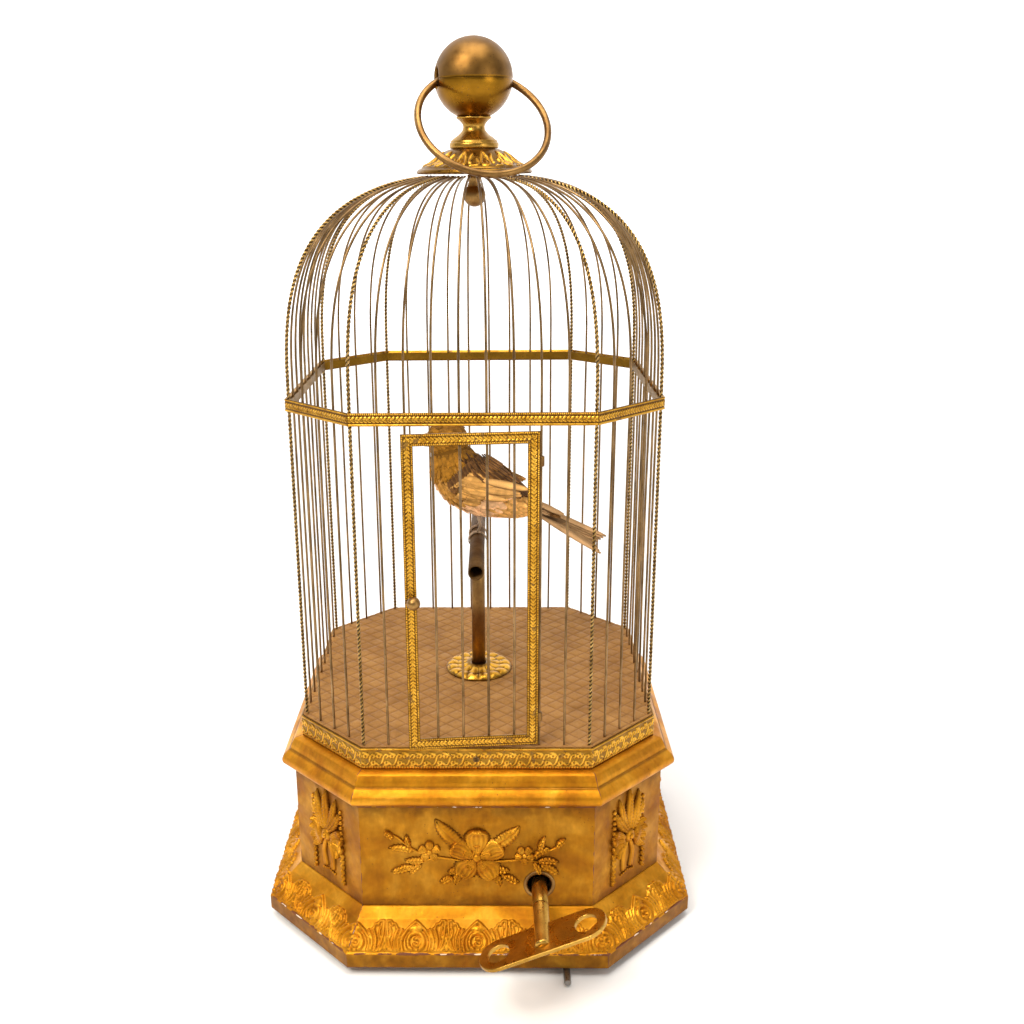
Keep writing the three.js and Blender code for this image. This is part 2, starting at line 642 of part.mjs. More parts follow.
function buildTail() {
  const [root, tip] = [[33, perchTop + 17.5], [83, perchTop - 12.5]];
  const length = Math.hypot(tip[0] - root[0], tip[1] - root[1]);
  const outline = [[0, -3], [length * 0.45, -4.6], [length, -7.6], [length - 6, 0], [length, 7.6],
    [length * 0.45, 4.6], [0, 3]];
  const feathers = slab(outline, 3).translate(0, 0, -1.5);
  return feathers.rotateY(Math.atan2(root[1] - tip[1], tip[0] - root[0])).translate(root[0], 0, root[1]);
}

function addBird() {
  place('perch_rosette', buildRosette(), brass);
  place('perch_post', buildPost(), agedBrass);
  place('perch_tube', buildPerch(), agedBrass);
  place('bird_body', buildBirdBody(), oliveFeather);
  place('bird_head', buildBirdHead(), oliveFeather);
  place('bird_lower_beak', buildLowerBeak(), horn);
  place('bird_tail', buildTail(), paleFeather);
}

// ---- the key and the stop lever -------------------------------------------------------------------
const shaftStart = PLATE_FRONT - 18;

function buildKeyShaft() {
  const shaft = rodY(KEY_SHAFT_R, KEY_END, shaftStart - GAP, 20);
  const socket = rodY(3.4, shaftStart - 14, shaftStart + 2, 8);
  const slot = box(HANDLE_WIDTH * 4, HANDLE_WIDTH + 2 * GAP, HANDLE_THICK + 2 * GAP)
    .translate(0, KEY_END + HANDLE_WIDTH / 2 - 5, 0).rotateY(-HANDLE_TILT);
  return at(cut(shaft, socket, slot), KEY_X, 0, KEY_Z);
}

function buildKeyHandle() {
  const half = HANDLE_LENGTH / 2 - HANDLE_WIDTH / 2;
  const r = HANDLE_WIDTH / 2;
  const right = Array.from({ length: 9 }, (_, i) => {
    const a = -Math.PI / 2 + (Math.PI * i) / 8;
    return [half + r * Math.cos(a), r * Math.sin(a)];
  });
  const left = right.map(([x, y]) => [-x, -y]);
  const bar = slab([...right, ...left], HANDLE_THICK);
  const eyes = [-1, 1].map((side) => (
    rodZ(HANDLE_EYE_R, -5, 10, 16).translate((side * HANDLE_EYES) / 2, 0, 0)));
  const handle = cut(bar, ...eyes).translate(0, 0, -HANDLE_THICK / 2);
  return handle.translate(0, KEY_END + r - 5.7, 0).rotateY(-HANDLE_TILT).translate(KEY_X, 0, KEY_Z);
}

function buildStopLever() {
  const z = -LEVER_R - GAP - 0.3;
  const bar = at(rodY(LEVER_R, LEVER_TIP, LEVER_PIVOT + 8, 8), LEVER_X, 0, z);
  const boss = at(rodZ(4.6, z - LEVER_R, -GAP, 12), LEVER_X, LEVER_PIVOT, 0);
  const finger = at(rodZ(2.2, -1, BOARD_THICK + 6, 8), LEVER_X, LEVER_PIVOT, 0);
  return join(bar, boss, finger);
}

// ---- the movement -----------------------------------------------------------------------------------
const barrelPitch = (WHEEL_TEETH * BARREL_MODULE) / 2;
const pinionOnBarrel = (PINION_TEETH * BARREL_MODULE) / 2;
const camX = KEY_X - barrelPitch - pinionOnBarrel;
const wheelPitch = (WHEEL_TEETH * WHEEL_MODULE) / 2;
const pinionOnWheel = (PINION_TEETH * WHEEL_MODULE) / 2;
const flyX = camX - wheelPitch - pinionOnWheel;
const backPlate = PLATE_FRONT + PLATE_THICK + PLATE_SPAN;

// a wheel standing on the XY plane: one tooth is four points, narrowed for a running clearance
function toothed(teeth, module, thick, phase = 0) {
  const [root, tip] = [module * (teeth / 2 - 0.95), module * (teeth / 2 + 0.7)];
  const pitch = (2 * Math.PI) / teeth;
  const points = [];
  for (let i = 0; i < teeth; i += 1) {
    const a = (i + phase) * pitch;
    [[root, -0.27], [tip, -0.1], [tip, 0.1], [root, 0.27]].forEach(([r, share]) => {
      points.push([r * Math.cos(a + share * pitch), r * Math.sin(a + share * pitch)]);
    });
  }
  return slab(points, thick);
}

// turns a piece that stands up +Z from the XY plane so that it stands along +Y from y, on an axle at x
const onAxle = (geometry, x, y) => geometry.rotateX(Math.PI / 2).translate(x, y, KEY_Z);

function buildFrame() {
  const [wide, tall] = [158, 72];
  const middle = (KEY_X + flyX) / 2;
  const [low, high] = [BOARD_THICK + 2 * GAP, BOARD_THICK + 2 * GAP + tall];
  const platesAt = [PLATE_FRONT + PLATE_THICK / 2, backPlate + PLATE_THICK / 2];
  const plates = platesAt.map((y) => at(box(wide, PLATE_THICK, tall), middle, y, (low + high) / 2));
  const pillars = [-1, 1].flatMap((side) => [low + 6, high - 6].map((z) => at(
    rodY(3, platesAt[0], platesAt[1], 6), middle + side * (wide / 2 - 6), 0, z)));
  const bores = [[KEY_X, 3.2], [camX, 2.2], [flyX, 1.5]].map(([x, r]) => at(
    rodY(r + GAP, PLATE_FRONT - 5, backPlate + 10, 8), x, 0, KEY_Z));
  return cut(join(...plates, ...pillars), ...bores);
}

const trainY = PLATE_FRONT + PLATE_THICK;
function buildBarrel() {
  const gear = onAxle(toothed(WHEEL_TEETH, BARREL_MODULE, 4), KEY_X, trainY + 10);
  const drum = at(rodY(barrelPitch - 3, trainY + 9, trainY + 28, 20), KEY_X, 0, KEY_Z);
  const bore = at(rodY(3.2 + GAP, trainY, trainY + 40, 8), KEY_X, 0, KEY_Z);
  return cut(join(gear, drum), bore);
}

function buildWindingArbor() {
  const axle = rodY(3.2, PLATE_FRONT - 2, backPlate + PLATE_THICK + 4, 8);
  const square = rodY(3, shaftStart - 10, PLATE_FRONT, 4);
  const ratchet = toothed(16, 1.3, 2.4).rotateX(Math.PI / 2).translate(0, trainY + 5, 0);
  return at(join(axle, square, ratchet), KEY_X, 0, KEY_Z);
}

function buildCamArbor() {
  const axle = at(rodY(2.2, PLATE_FRONT - 1, backPlate + PLATE_THICK + 1, 8), camX, 0, KEY_Z);
  const pinion = onAxle(toothed(PINION_TEETH, BARREL_MODULE, 8, 0.5), camX, trainY + 12);
  const wheel = onAxle(toothed(WHEEL_TEETH, WHEEL_MODULE, 2.4), camX, trainY + 33);
  const cams = [0, 1, 2].map((i) => onAxle(slab(petals(2 + i, 7, 9, 4), 2), camX, trainY + 17 + 5 * i));
  return join(axle, pinion, wheel, ...cams);
}

function buildFly() {
  const axle = at(rodY(1.5, PLATE_FRONT - 1, backPlate + PLATE_THICK + 1, 8), flyX, 0, KEY_Z);
  const pinion = onAxle(toothed(PINION_TEETH, WHEEL_MODULE, 6, 0.5), flyX, trainY + 35);
  const vane = at(box(26, 12, 1), flyX, trainY + 18, KEY_Z);
  return join(axle, pinion, vane);
}

// the bellows stand behind the movement, a wedge that pumps about its low edge
const bellowsY = backPlate + PLATE_THICK + 14;
function buildBellows() {
  const wedge = [[0, 0], [54, 0], [54, 3], [0, 22]];
  return slab(wedge, 40).rotateX(Math.PI / 2).translate(-28, bellowsY + 40, BOARD_THICK + 12);
}

function buildWhistle() {
  const pipe = rodX(5, -34, 34, 12);
  const mouth = at(box(6, 12, 6), 24, 0, 5);
  const bore = rodX(3.4, -30, 40, 10);
  return cut(pipe, mouth, bore).translate(0, bellowsY + 56, BOARD_THICK + 14);
}

function addMovement() {
  place('movement_frame', buildFrame(), brass);
  place('spring_barrel', buildBarrel(), brass);
  place('winding_arbor', buildWindingArbor(), steel);
  place('cam_arbor', buildCamArbor(), steel);
  place('fly', buildFly(), steel);
  place('bellows', buildBellows(), leather);
  place('whistle', buildWhistle(), brass);
}

addBase();
addCage();
addCrown();
addDoor();
addBird();
place('key_shaft', buildKeyShaft(), agedBrass);
place('key_handle', buildKeyHandle(), agedBrass);
place('stop_lever', buildStopLever(), agedBrass);
addMovement();
model.position.z = FEET_HEIGHT;

export default model;
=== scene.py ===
"""Looks of the singing-bird cage: gilded wood, stamped brass, wires and a feathered bird.

Lengths inside this script are millimetres, with heights from the plinth's underside; mesh_object
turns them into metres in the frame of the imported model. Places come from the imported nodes' boxes.
"""
import math

import bpy
import numpy as np
from mathutils import Matrix, Vector


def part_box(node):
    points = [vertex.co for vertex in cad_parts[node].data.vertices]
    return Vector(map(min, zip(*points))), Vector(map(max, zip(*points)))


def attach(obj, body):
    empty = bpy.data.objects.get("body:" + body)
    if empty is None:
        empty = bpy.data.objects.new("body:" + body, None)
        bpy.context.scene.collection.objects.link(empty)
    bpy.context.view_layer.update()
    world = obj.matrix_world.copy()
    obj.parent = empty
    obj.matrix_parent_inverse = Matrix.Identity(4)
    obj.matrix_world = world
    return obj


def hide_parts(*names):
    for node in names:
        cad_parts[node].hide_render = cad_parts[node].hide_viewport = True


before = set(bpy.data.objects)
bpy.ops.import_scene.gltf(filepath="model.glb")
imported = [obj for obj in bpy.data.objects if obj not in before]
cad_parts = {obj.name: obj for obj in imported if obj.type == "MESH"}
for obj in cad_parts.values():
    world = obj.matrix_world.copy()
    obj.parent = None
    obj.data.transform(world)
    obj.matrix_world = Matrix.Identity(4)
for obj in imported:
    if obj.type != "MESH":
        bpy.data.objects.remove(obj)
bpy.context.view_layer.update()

MM = 0.001
LIFT = np.array([0, 0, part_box("plinth")[0][2] / MM])  # the plinth's underside, above the feet
rng = np.random.default_rng(7)


def node_box(name):
    low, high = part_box(name)
    return np.array(low) / MM - LIFT, np.array(high) / MM - LIFT


# ---- camera, light and stage ----------------------------------------------------------------------
CAMERA_AZIMUTH = math.radians(1.10)
CAMERA_DISTANCE = 723.9
CAMERA_HEIGHT = 487.0
CAMERA_PITCH = math.radians(17.13)
CAMERA_ROLL = math.radians(-0.53)
CAMERA_LENS = 38.81
CAMERA_SHIFT = 0.0337


def add_camera():
    data = bpy.data.cameras.new("camera")
    data.lens = CAMERA_LENS
    data.sensor_width = 36
    data.shift_x = CAMERA_SHIFT
    data.clip_start = 0.02
    camera = bpy.data.objects.new("camera", data)
    bpy.context.scene.collection.objects.link(camera)
    camera.location = (
        CAMERA_DISTANCE * math.sin(CAMERA_AZIMUTH) * MM,
        -CAMERA_DISTANCE * math.cos(CAMERA_AZIMUTH) * MM,
        CAMERA_HEIGHT * MM,
    )
    camera.rotation_mode = "QUATERNION"
    tilt = Matrix.Rotation(math.pi / 2 - CAMERA_PITCH, 4, "X") @ Matrix.Rotation(CAMERA_ROLL, 4, "Z")
    camera.rotation_quaternion = (Matrix.Rotation(CAMERA_AZIMUTH, 4, "Z") @ tilt).to_quaternion()
    bpy.context.scene.camera = camera


def add_area(name, place, aim, size, watts, colour=(1, 1, 1)):
    data = bpy.data.lights.new(name, "AREA")
    data.shape = "RECTANGLE"
    data.size, data.size_y = size
    data.energy = watts
    data.color = colour
    light = bpy.data.objects.new(name, data)
    bpy.context.scene.collection.objects.link(light)
    light.location = place
    light.rotation_mode = "QUATERNION"
    light.rotation_quaternion = (Vector(aim) - Vector(place)).to_track_quat("-Z", "Y")


def add_light():
    world = bpy.data.worlds.new("studio")
    world.use_nodes = True
    world.node_tree.nodes["Background"].inputs["Color"].default_value = (1, 0.97, 0.93, 1)
    world.node_tree.nodes["Background"].inputs["Strength"].default_value = 0.36
    bpy.context.scene.world = world
    add_area("key", (-0.8, -1.0, 1.6), (0, 0, 0.25), (0.7, 0.7), 30, (1, 0.94, 0.84))
    add_area("fill", (1.1, -1.0, 0.7), (0, 0, 0.3), (0.6, 1.0), 5, (1, 0.95, 0.88))
    add_area("top", (0.0, -0.2, 1.6), (0, 0, 0.2), (1.0, 1.0), 16, (1, 0.96, 0.9))
    bpy.context.scene.view_settings.view_transform = "Standard"


def add_floor(material):
    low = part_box("foot_frame")[0][2]
    bpy.ops.mesh.primitive_plane_add(size=14, location=(0, 0, low))
    floor = bpy.context.object
    floor.name = "stage_floor"
    floor.data.materials.append(material)
    bpy.ops.mesh.primitive_plane_add(size=12, location=(0, 3.2, low + 5.9), rotation=(math.pi / 2, 0, 0))
    backdrop = bpy.context.object
    backdrop.name = "stage_backdrop"
    backdrop.scale = (3, 1, 1)
    backdrop.data.materials.append(backdrop_material())


# ---- mesh helpers -----------------------------------------------------------------------------------
def mesh_object(name, points, faces, material, body="root", smooth=True, attributes=None):
    """A named piece from millimetre points; attributes are one number or colour for each point."""
    mesh = bpy.data.meshes.new(name)
    mesh.from_pydata(((np.asarray(points, float).reshape(-1, 3) + LIFT) * MM).tolist(), [], [list(f) for f in faces])
    mesh.polygons.foreach_set("use_smooth", [smooth] * len(mesh.polygons))
    for key, values in (attributes or {}).items():
        values = np.asarray(values, float)
        if values.ndim == 1:
            mesh.attributes.new(key, "FLOAT", "POINT").data.foreach_set("value", values)
        else:
            rgba = np.hstack([values, np.ones((len(values), 1))]).ravel()
            mesh.attributes.new(key, "FLOAT_COLOR", "POINT").data.foreach_set("color", rgba)
    mesh.materials.append(material)
    mesh.validate()
    mesh.update()
    piece = bpy.data.objects.new(name, mesh)
    bpy.context.scene.collection.objects.link(piece)
    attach(piece, body)
    return piece


def quads(rows, columns, wrap_rows=False, wrap_columns=False):
    index = np.arange(rows * columns).reshape(rows, columns)
    if wrap_rows:
        index = np.vstack([index, index[:1]])
    if wrap_columns:
        index = np.hstack([index, index[:, :1]])
    corners = [index[:-1, :-1], index[1:, :-1], index[1:, 1:], index[:-1, 1:]]
    return np.stack(corners, -1).reshape(-1, 4)


class Parts:
    """Collects points, faces and attributes of the shapes that make one piece."""

    def __init__(self):
        self.points, self.faces, self.values, self.count = [], [], {}, 0

    def add(self, shape, **values):
        points, faces = shape[0], shape[1]
        points = np.asarray(points, float).reshape(-1, 3)
        self.points.append(points)
        self.faces.extend([[int(i) + self.count for i in face] for face in faces])
        for key, value in values.items():
            value = np.asarray(value, float)
            if value.ndim == 0 or (value.ndim == 1 and key == "tint"):
                value = np.broadcast_to(value, (len(points), *value.shape))
            self.values.setdefault(key, []).append(value)
        self.count += len(points)

    def piece(self, name, material, body="root", smooth=True):
        attributes = {key: np.concatenate(parts) for key, parts in self.values.items()}
        return mesh_object(name, np.vstack(self.points), self.faces, material, body, smooth, attributes)


def tube(path, radius, reference, sides=8):
    """A round rod along a path, with end caps; radius may differ along it."""
    path = np.asarray(path, float)
    along = np.gradient(path, axis=0)
    along /= np.linalg.norm(along, axis=1, keepdims=True)
    reference = np.broadcast_to(np.asarray(reference, float), path.shape)
    side = reference - (reference * along).sum(1, keepdims=True) * along
    side /= np.linalg.norm(side, axis=1, keepdims=True)
    across = np.cross(along, side)
    angle = np.linspace(0, 2 * math.pi, sides, endpoint=False)
    radius = np.broadcast_to(np.asarray(radius, float), len(path))[:, None, None]
    ring = np.cos(angle)[None, :, None] * side[:, None] + np.sin(angle)[None, :, None] * across[:, None]
    points = (path[:, None] + radius * ring).reshape(-1, 3)
    last = (len(path) - 1) * sides
    faces = [list(f)[::-1] for f in quads(len(path), sides, wrap_columns=True)]
    faces += [list(range(sides))[::-1], list(range(last, last + sides))]
    return points, faces


def lathe(outline, sides=64, relief=None, closed=False):
    """A turned shape about +Z from (radius, height) points, running so that its outside is on the
    right; relief(angle, row) raises the surface. A closed outline makes a ring."""
    outline = np.asarray(outline, float)
    angle = np.linspace(0, 2 * math.pi, sides, endpoint=False)
    if closed:
        way = outline_normals(outline)
    else:
        along = np.gradient(outline, axis=0)
        way = np.stack([along[:, 1], -along[:, 0]], -1) / np.maximum(
            np.linalg.norm(along, axis=1, keepdims=True), 1e-9)
    raised = np.zeros((len(outline), sides))
    if relief is not None:
        raised = relief(angle[None] + 0 * raised, np.arange(len(outline))[:, None] + 0 * raised)
    radius = np.maximum(outline[:, :1] + raised * way[:, :1], 0.02)
    height = outline[:, 1:] + raised * way[:, 1:]
    points = np.stack([radius * np.cos(angle), radius * np.sin(angle), height], -1).reshape(-1, 3)
    faces = [list(f)[::-1] for f in quads(len(outline), sides, closed, True)]
    if not closed:
        last = (len(outline) - 1) * sides
        faces += [list(range(sides))[::-1], list(range(last, last + sides))]
    return points, faces, raised.ravel()


def curve(points, count=8):
    """A smooth line through the points (Catmull-Rom)."""
    p = np.asarray(points, float)
    p = np.vstack([2 * p[0] - p[1], p, 2 * p[-1] - p[-2]])
    t = np.linspace(0, 1, count, endpoint=False)[:, None]
    out = [0.5 * (2 * p[i] + (p[i + 1] - p[i - 1]) * t + (2 * p[i - 1] - 5 * p[i] + 4 * p[i + 1] - p[i + 2]) * t**2
                  + (3 * p[i] - p[i - 1] - 3 * p[i + 1] + p[i + 2]) * t**3) for i in range(1, len(p) - 2)]
    return np.vstack([*out, p[-2:-1]])


def stand(points, x_way, y_way, z_way, origin=(0, 0, 0)):
    """Carries local points on to the given directions and place."""
    axes = np.array([x_way, y_way, z_way], float)
    return np.asarray(points, float) @ axes + np.asarray(origin, float)


def smooth_line(corners, step):
    """Points at an even step along straight runs between the corners."""
    corners = np.asarray(corners, float)
    out = []
    for a, b in zip(corners[:-1], corners[1:]):
        count = max(1, int(round(np.linalg.norm(b - a) / step)))
        out.append(a + (b - a) * (np.arange(count) / count)[:, None])
    out.append(corners[-1:])
    return np.vstack(out)


def arc(centre, radius, start, end, count):
    angle = np.radians(np.linspace(start, end, count))
    return np.stack([centre[0] + radius * np.cos(angle), centre[1] + radius * np.sin(angle)], -1)


def bezier(a, b, c, count=10):
    t = np.linspace(0, 1, count)[:, None]
    return (1 - t) ** 2 * np.array(a) + 2 * t * (1 - t) * np.array(b) + t**2 * np.array(c)


def ridge(x, y, line, width, height):
    """A rounded ridge of that height along a line, as a height over the points x, y."""
    line = np.asarray(line, float)
    nearest = np.full(np.shape(x), 1e9)
    for (ax, ay), (bx, by) in zip(line[:-1], line[1:]):
        dx, dy = bx - ax, by - ay
        t = np.clip(((x - ax) * dx + (y - ay) * dy) / (dx * dx + dy * dy), 0, 1)
        nearest = np.minimum(nearest, np.hypot(x - ax - t * dx, y - ay - t * dy))
    return height * np.sqrt(np.clip(1 - (nearest / width) ** 2, 0, 1))


def bump(x, y, centre, radii, height, turn=0.0):
    """A rounded boss, an ellipse in plan."""
    c, s = math.cos(turn), math.sin(turn)
    u, v = x - centre[0], y - centre[1]
    u, v = (u * c + v * s) / radii[0], (v * c - u * s) / radii[1]
    return height * np.sqrt(np.clip(1 - u * u - v * v, 0, 1))


# ---- the octagon ----------------------------------------------------------------------------------
WIRE_PLANE = 112.0
WIDE_FACE = 140.0
CORNERS = 8
FACES = ("front", "front_right", "right", "back_right", "back", "back_left", "left", "front_left")


def octagon(half):
    """The eight corners of the octagon whose wide faces stand that far from the axis."""
    run = WIDE_FACE / 2 + math.tan(math.pi / 8) * (half - WIRE_PLANE)
    return np.array([[-run, -half], [run, -half], [half, -run], [half, run],
                     [run, half], [-run, half], [-half, run], [-half, -run]])


def run_along(outline):
    return np.concatenate([[0], np.cumsum(np.linalg.norm(np.diff(outline, axis=0), axis=1))])


def ring_sweep(outline, rings, outward, step, relief=None, wear=0.0, fade=1.2):
    """Sweeps a closed outline round a ring of corners. rings[i, k] is outline point i at corner k and
    outward[i, k] the way its relief rises on the side after corner k. relief(side, x, s) gives that
    height, where x runs along the side from its middle and s along the outline."""
    travelled = run_along(outline)
    sides = rings.shape[1]
    columns, heights, exposures = [], [], []
    for side in range(sides):
        a, b = rings[:, side], rings[:, (side + 1) % sides]
        length = np.linalg.norm(b - a, axis=1)
        count = max(3, int(length.mean() / step))
        share = (np.arange(count) / count)[:, None]
        x = (share - 0.5) * length[None]
        edge = np.minimum(share, 1 - share) * length[None]
        height = np.zeros_like(x)
        if relief is not None:
            height = relief(side, x, travelled[None] + 0 * x) * np.clip(edge / fade, 0, 1)
        columns.append(a[None] + (b - a)[None] * share[..., None] + height[..., None] * outward[None, :, side])
        heights.append(height)
        exposures.append(np.maximum(np.broadcast_to(wear, x.shape), 0.8 * np.exp(-edge / 0.9)))
    points = np.vstack(columns)
    faces = quads(points.shape[0], points.shape[1], True, True)
    return points.reshape(-1, 3), faces, np.vstack(heights).ravel(), np.vstack(exposures).ravel()


def outline_normals(outline):
    along = np.roll(outline, -1, 0) - np.roll(outline, 1, 0)
    along /= np.linalg.norm(along, axis=1, keepdims=True)
    return np.stack([along[:, 1], -along[:, 0]], -1)


def moulding(outline, step, **options):
    """An octagonal moulding; the closed outline gives half-width and height, anticlockwise."""
    outline = np.asarray(outline, float)
    normal = outline_normals(outline)
    rings = np.array([np.column_stack([octagon(half), np.full(CORNERS, z)]) for half, z in outline])
    way = np.radians(45 * np.arange(CORNERS) - 90)
    outward = np.stack([np.outer(normal[:, 0], np.cos(way)), np.outer(normal[:, 0], np.sin(way)),
                        np.outer(normal[:, 1], np.ones(CORNERS))], -1)
    return ring_sweep(outline, rings, outward, step, **options)


def edge_exposure(outline, sharp_points, reach=0.8):
    """How near each outline point is to a sharp edge, from 0 to 1."""
    outline, sharp = np.asarray(outline, float), np.asarray(sharp_points, float)
    gap = np.linalg.norm(outline[:, None] - sharp[None], axis=2).min(1)
    return np.exp(-((gap / reach) ** 2))


# ---- materials ------------------------------------------------------------------------------------
class Paint:
    """A node material being built: every call adds nodes and gives the socket that they end in."""

    def __init__(self, name, roughness=0.5, metallic=0.0, **sockets):
        self.material = bpy.data.materials.new(name)
        self.material.use_nodes = True
        self.nodes = self.material.node_tree.nodes
        self.links = self.material.node_tree.links
        self.shader = self.nodes["Principled BSDF"]
        self.shader.inputs["Roughness"].default_value = roughness
        self.shader.inputs["Metallic"].default_value = metallic
        for name_, value in sockets.items():
            self.shader.inputs[name_].default_value = value
        self.place = self.nodes.new("ShaderNodeTexCoord").outputs["Object"]

    def noise(self, scale, detail=4.0, distortion=0.0, stretch=(1, 1, 1)):
        place = self.place
        if stretch != (1, 1, 1):
            mapping = self.nodes.new("ShaderNodeMapping")
            mapping.inputs["Scale"].default_value = stretch
            self.links.new(place, mapping.inputs["Vector"])
            place = mapping.outputs["Vector"]
        node = self.nodes.new("ShaderNodeTexNoise")
        node.inputs["Scale"].default_value = scale
        node.inputs["Detail"].default_value = detail
        node.inputs["Distortion"].default_value = distortion
        self.links.new(place, node.inputs["Vector"])
        return node.outputs["Fac"]

    def cells(self, scale, feature="DISTANCE_TO_EDGE"):
        node = self.nodes.new("ShaderNodeTexVoronoi")
        node.feature = feature
        node.inputs["Scale"].default_value = scale
        self.links.new(self.place, node.inputs["Vector"])
        return node.outputs["Distance"]

    def attribute(self, name, colour=False):
        node = self.nodes.new("ShaderNodeAttribute")
        node.attribute_name = name
        return node.outputs["Color" if colour else "Fac"]

    def math(self, operation, a, b=0.0):
        node = self.nodes.new("ShaderNodeMath")
        node.operation = operation
        for socket, value in zip(node.inputs, (a, b)):
            self.feed(socket, value)
        return node.outputs[0]

    def feed(self, socket, value):
        if isinstance(value, bpy.types.NodeSocket):
            self.links.new(value, socket)
        else:
            socket.default_value = value

    def ramp(self, value, *stops):
        """A colour or grey ramp; each stop is (place, colour or grey)."""
        node = self.nodes.new("ShaderNodeValToRGB")
        elements = node.color_ramp.elements
        while len(elements) < len(stops):
            elements.new(0.5)
        for element, (place, colour) in zip(elements, stops):
            element.position = place
            grey = isinstance(colour, (int, float))
            element.color = (colour, colour, colour, 1) if grey else (*colour, 1)
        self.links.new(value, node.inputs["Fac"])
        return node.outputs["Color"]

    def mix(self, share, a, b, kind="MIX"):
        node = self.nodes.new("ShaderNodeMix")
        node.data_type = "RGBA"
        node.blend_type = kind
        for socket, value in ((node.inputs[0], share), (node.inputs[6], a), (node.inputs[7], b)):
            if isinstance(value, tuple):
                value = (*value, 1)
            self.feed(socket, value)
        return node.outputs[2]

    def bump(self, height, strength, distance):
        node = self.nodes.new("ShaderNodeBump")
        node.inputs["Strength"].default_value = strength
        node.inputs["Distance"].default_value = distance
        self.links.new(height, node.inputs["Height"])
        if self.shader.inputs["Normal"].is_linked:
            self.links.new(self.shader.inputs["Normal"].links[0].from_socket, node.inputs["Normal"])
        self.links.new(node.outputs["Normal"], self.shader.inputs["Normal"])

    def set(self, socket, value):
        self.links.new(value, self.shader.inputs[socket])


def gilt_material():
    paint = Paint("gilt_wood", metallic=0.55, **{"Specular IOR Level": 0.25})
    patches = paint.noise(38, 6, 0.6)
    colour = paint.ramp(patches, (0.3, (0.40, 0.133, 0.005)), (0.5, (0.60, 0.245, 0.010)), (0.72, (0.85, 0.41, 0.035)))
    grain = paint.noise(420, 5, 0.2, (1, 1, 0.35))
    colour = paint.mix(0.35, colour, paint.ramp(grain, (0.3, 0.45), (0.7, 1.0)), "MULTIPLY")
    # Painted shade: the hollows given by the cavity attribute are darkened towards near-black brown, broken up by
    # noise.
    cavity = paint.attribute("cavity")
    recess_shade = paint.math("MULTIPLY", cavity, paint.ramp(paint.noise(160, 3), (0.25, 0.6), (0.6, 1.0)))
    colour = paint.mix(recess_shade, colour, (0.085, 0.03, 0.005))
    wear = paint.attribute("wear")
    bole = paint.math("GREATER_THAN", paint.math("MULTIPLY", wear, paint.noise(150, 6)), 0.36)
    colour = paint.mix(bole, colour, (0.15, 0.045, 0.012))
    gesso = paint.math("GREATER_THAN", paint.math("MULTIPLY", wear, paint.noise(95, 6, 0.4)), 0.50)
    colour = paint.mix(gesso, colour, (0.72, 0.58, 0.44))
    specks = paint.math("LESS_THAN", paint.cells(330, "F1"), 0.10)
    specks = paint.math("MULTIPLY", specks, paint.math("GREATER_THAN", paint.noise(70, 2), 0.56))
    colour = paint.mix(specks, colour, (0.10, 0.045, 0.012))
    paint.set("Base Color", colour)
    bare = paint.math("MAXIMUM", bole, gesso)
    paint.set("Metallic", paint.math("MULTIPLY", paint.math("SUBTRACT", 1.0, bare), 0.86))
    paint.set("Roughness", paint.ramp(paint.noise(90, 5), (0.3, 0.36), (0.7, 0.58)))
    paint.bump(paint.noise(260, 6), 0.25, 0.0006)
    paint.bump(paint.noise(1500, 3), 0.12, 0.0002)
    return paint.material


def stamped_brass_material():
    paint = Paint("stamped_brass", metallic=1.0)
    colour = paint.ramp(paint.noise(120, 5), (0.3, (0.47, 0.22, 0.016)), (0.7, (0.84, 0.455, 0.055)))
    # Painted shade: the hollows of the stamped relief, from the cavity attribute, are darkened towards near-black.
    cavity = paint.math("POWER", paint.attribute("cavity"), 0.65)
    colour = paint.mix(cavity, colour, (0.085, 0.036, 0.008))
    spots = paint.math("MULTIPLY", paint.math("LESS_THAN", paint.noise(210, 5), 0.36), 0.7)
    colour = paint.mix(spots, colour, (0.17, 0.09, 0.03))
    paint.set("Base Color", colour)
    paint.set("Roughness", paint.ramp(paint.noise(300, 4), (0.3, 0.22), (0.7, 0.42)))
    paint.bump(paint.noise(1800, 3), 0.1, 0.0002)
    return paint.material


def metal_material(name, dark, light, rough=(0.28, 0.5), patch=55, speck=(0.05, 0.03, 0.015)):
    """Old metal: two tones in patches, small dark specks and fine scratches."""
    paint = Paint(name, metallic=1.0)
    colour = paint.ramp(paint.noise(patch, 6, 0.4), (0.33, dark), (0.68, light))
    fine = paint.ramp(paint.noise(900, 4), (0.35, 0.72), (0.65, 1.0))
    colour = paint.mix(0.6, colour, fine, "MULTIPLY")
    specks = paint.math("LESS_THAN", paint.cells(420, "F1"), 0.16)
    specks = paint.math("MULTIPLY", specks, paint.math("GREATER_THAN", paint.noise(120, 2), 0.55))
    colour = paint.mix(paint.math("MULTIPLY", specks, 0.7), colour, speck)
    # Painted shade: hollows given by the cavity attribute are darkened.
    colour = paint.mix(paint.attribute("cavity"), colour, (0.06, 0.035, 0.015))
    paint.set("Base Color", colour)
    paint.set("Roughness", paint.ramp(paint.noise(140, 5), (0.3, rough[0]), (0.7, rough[1])))
    paint.bump(paint.noise(1400, 4, 0, (1, 1, 6)), 0.08, 0.0002)
    return paint.material


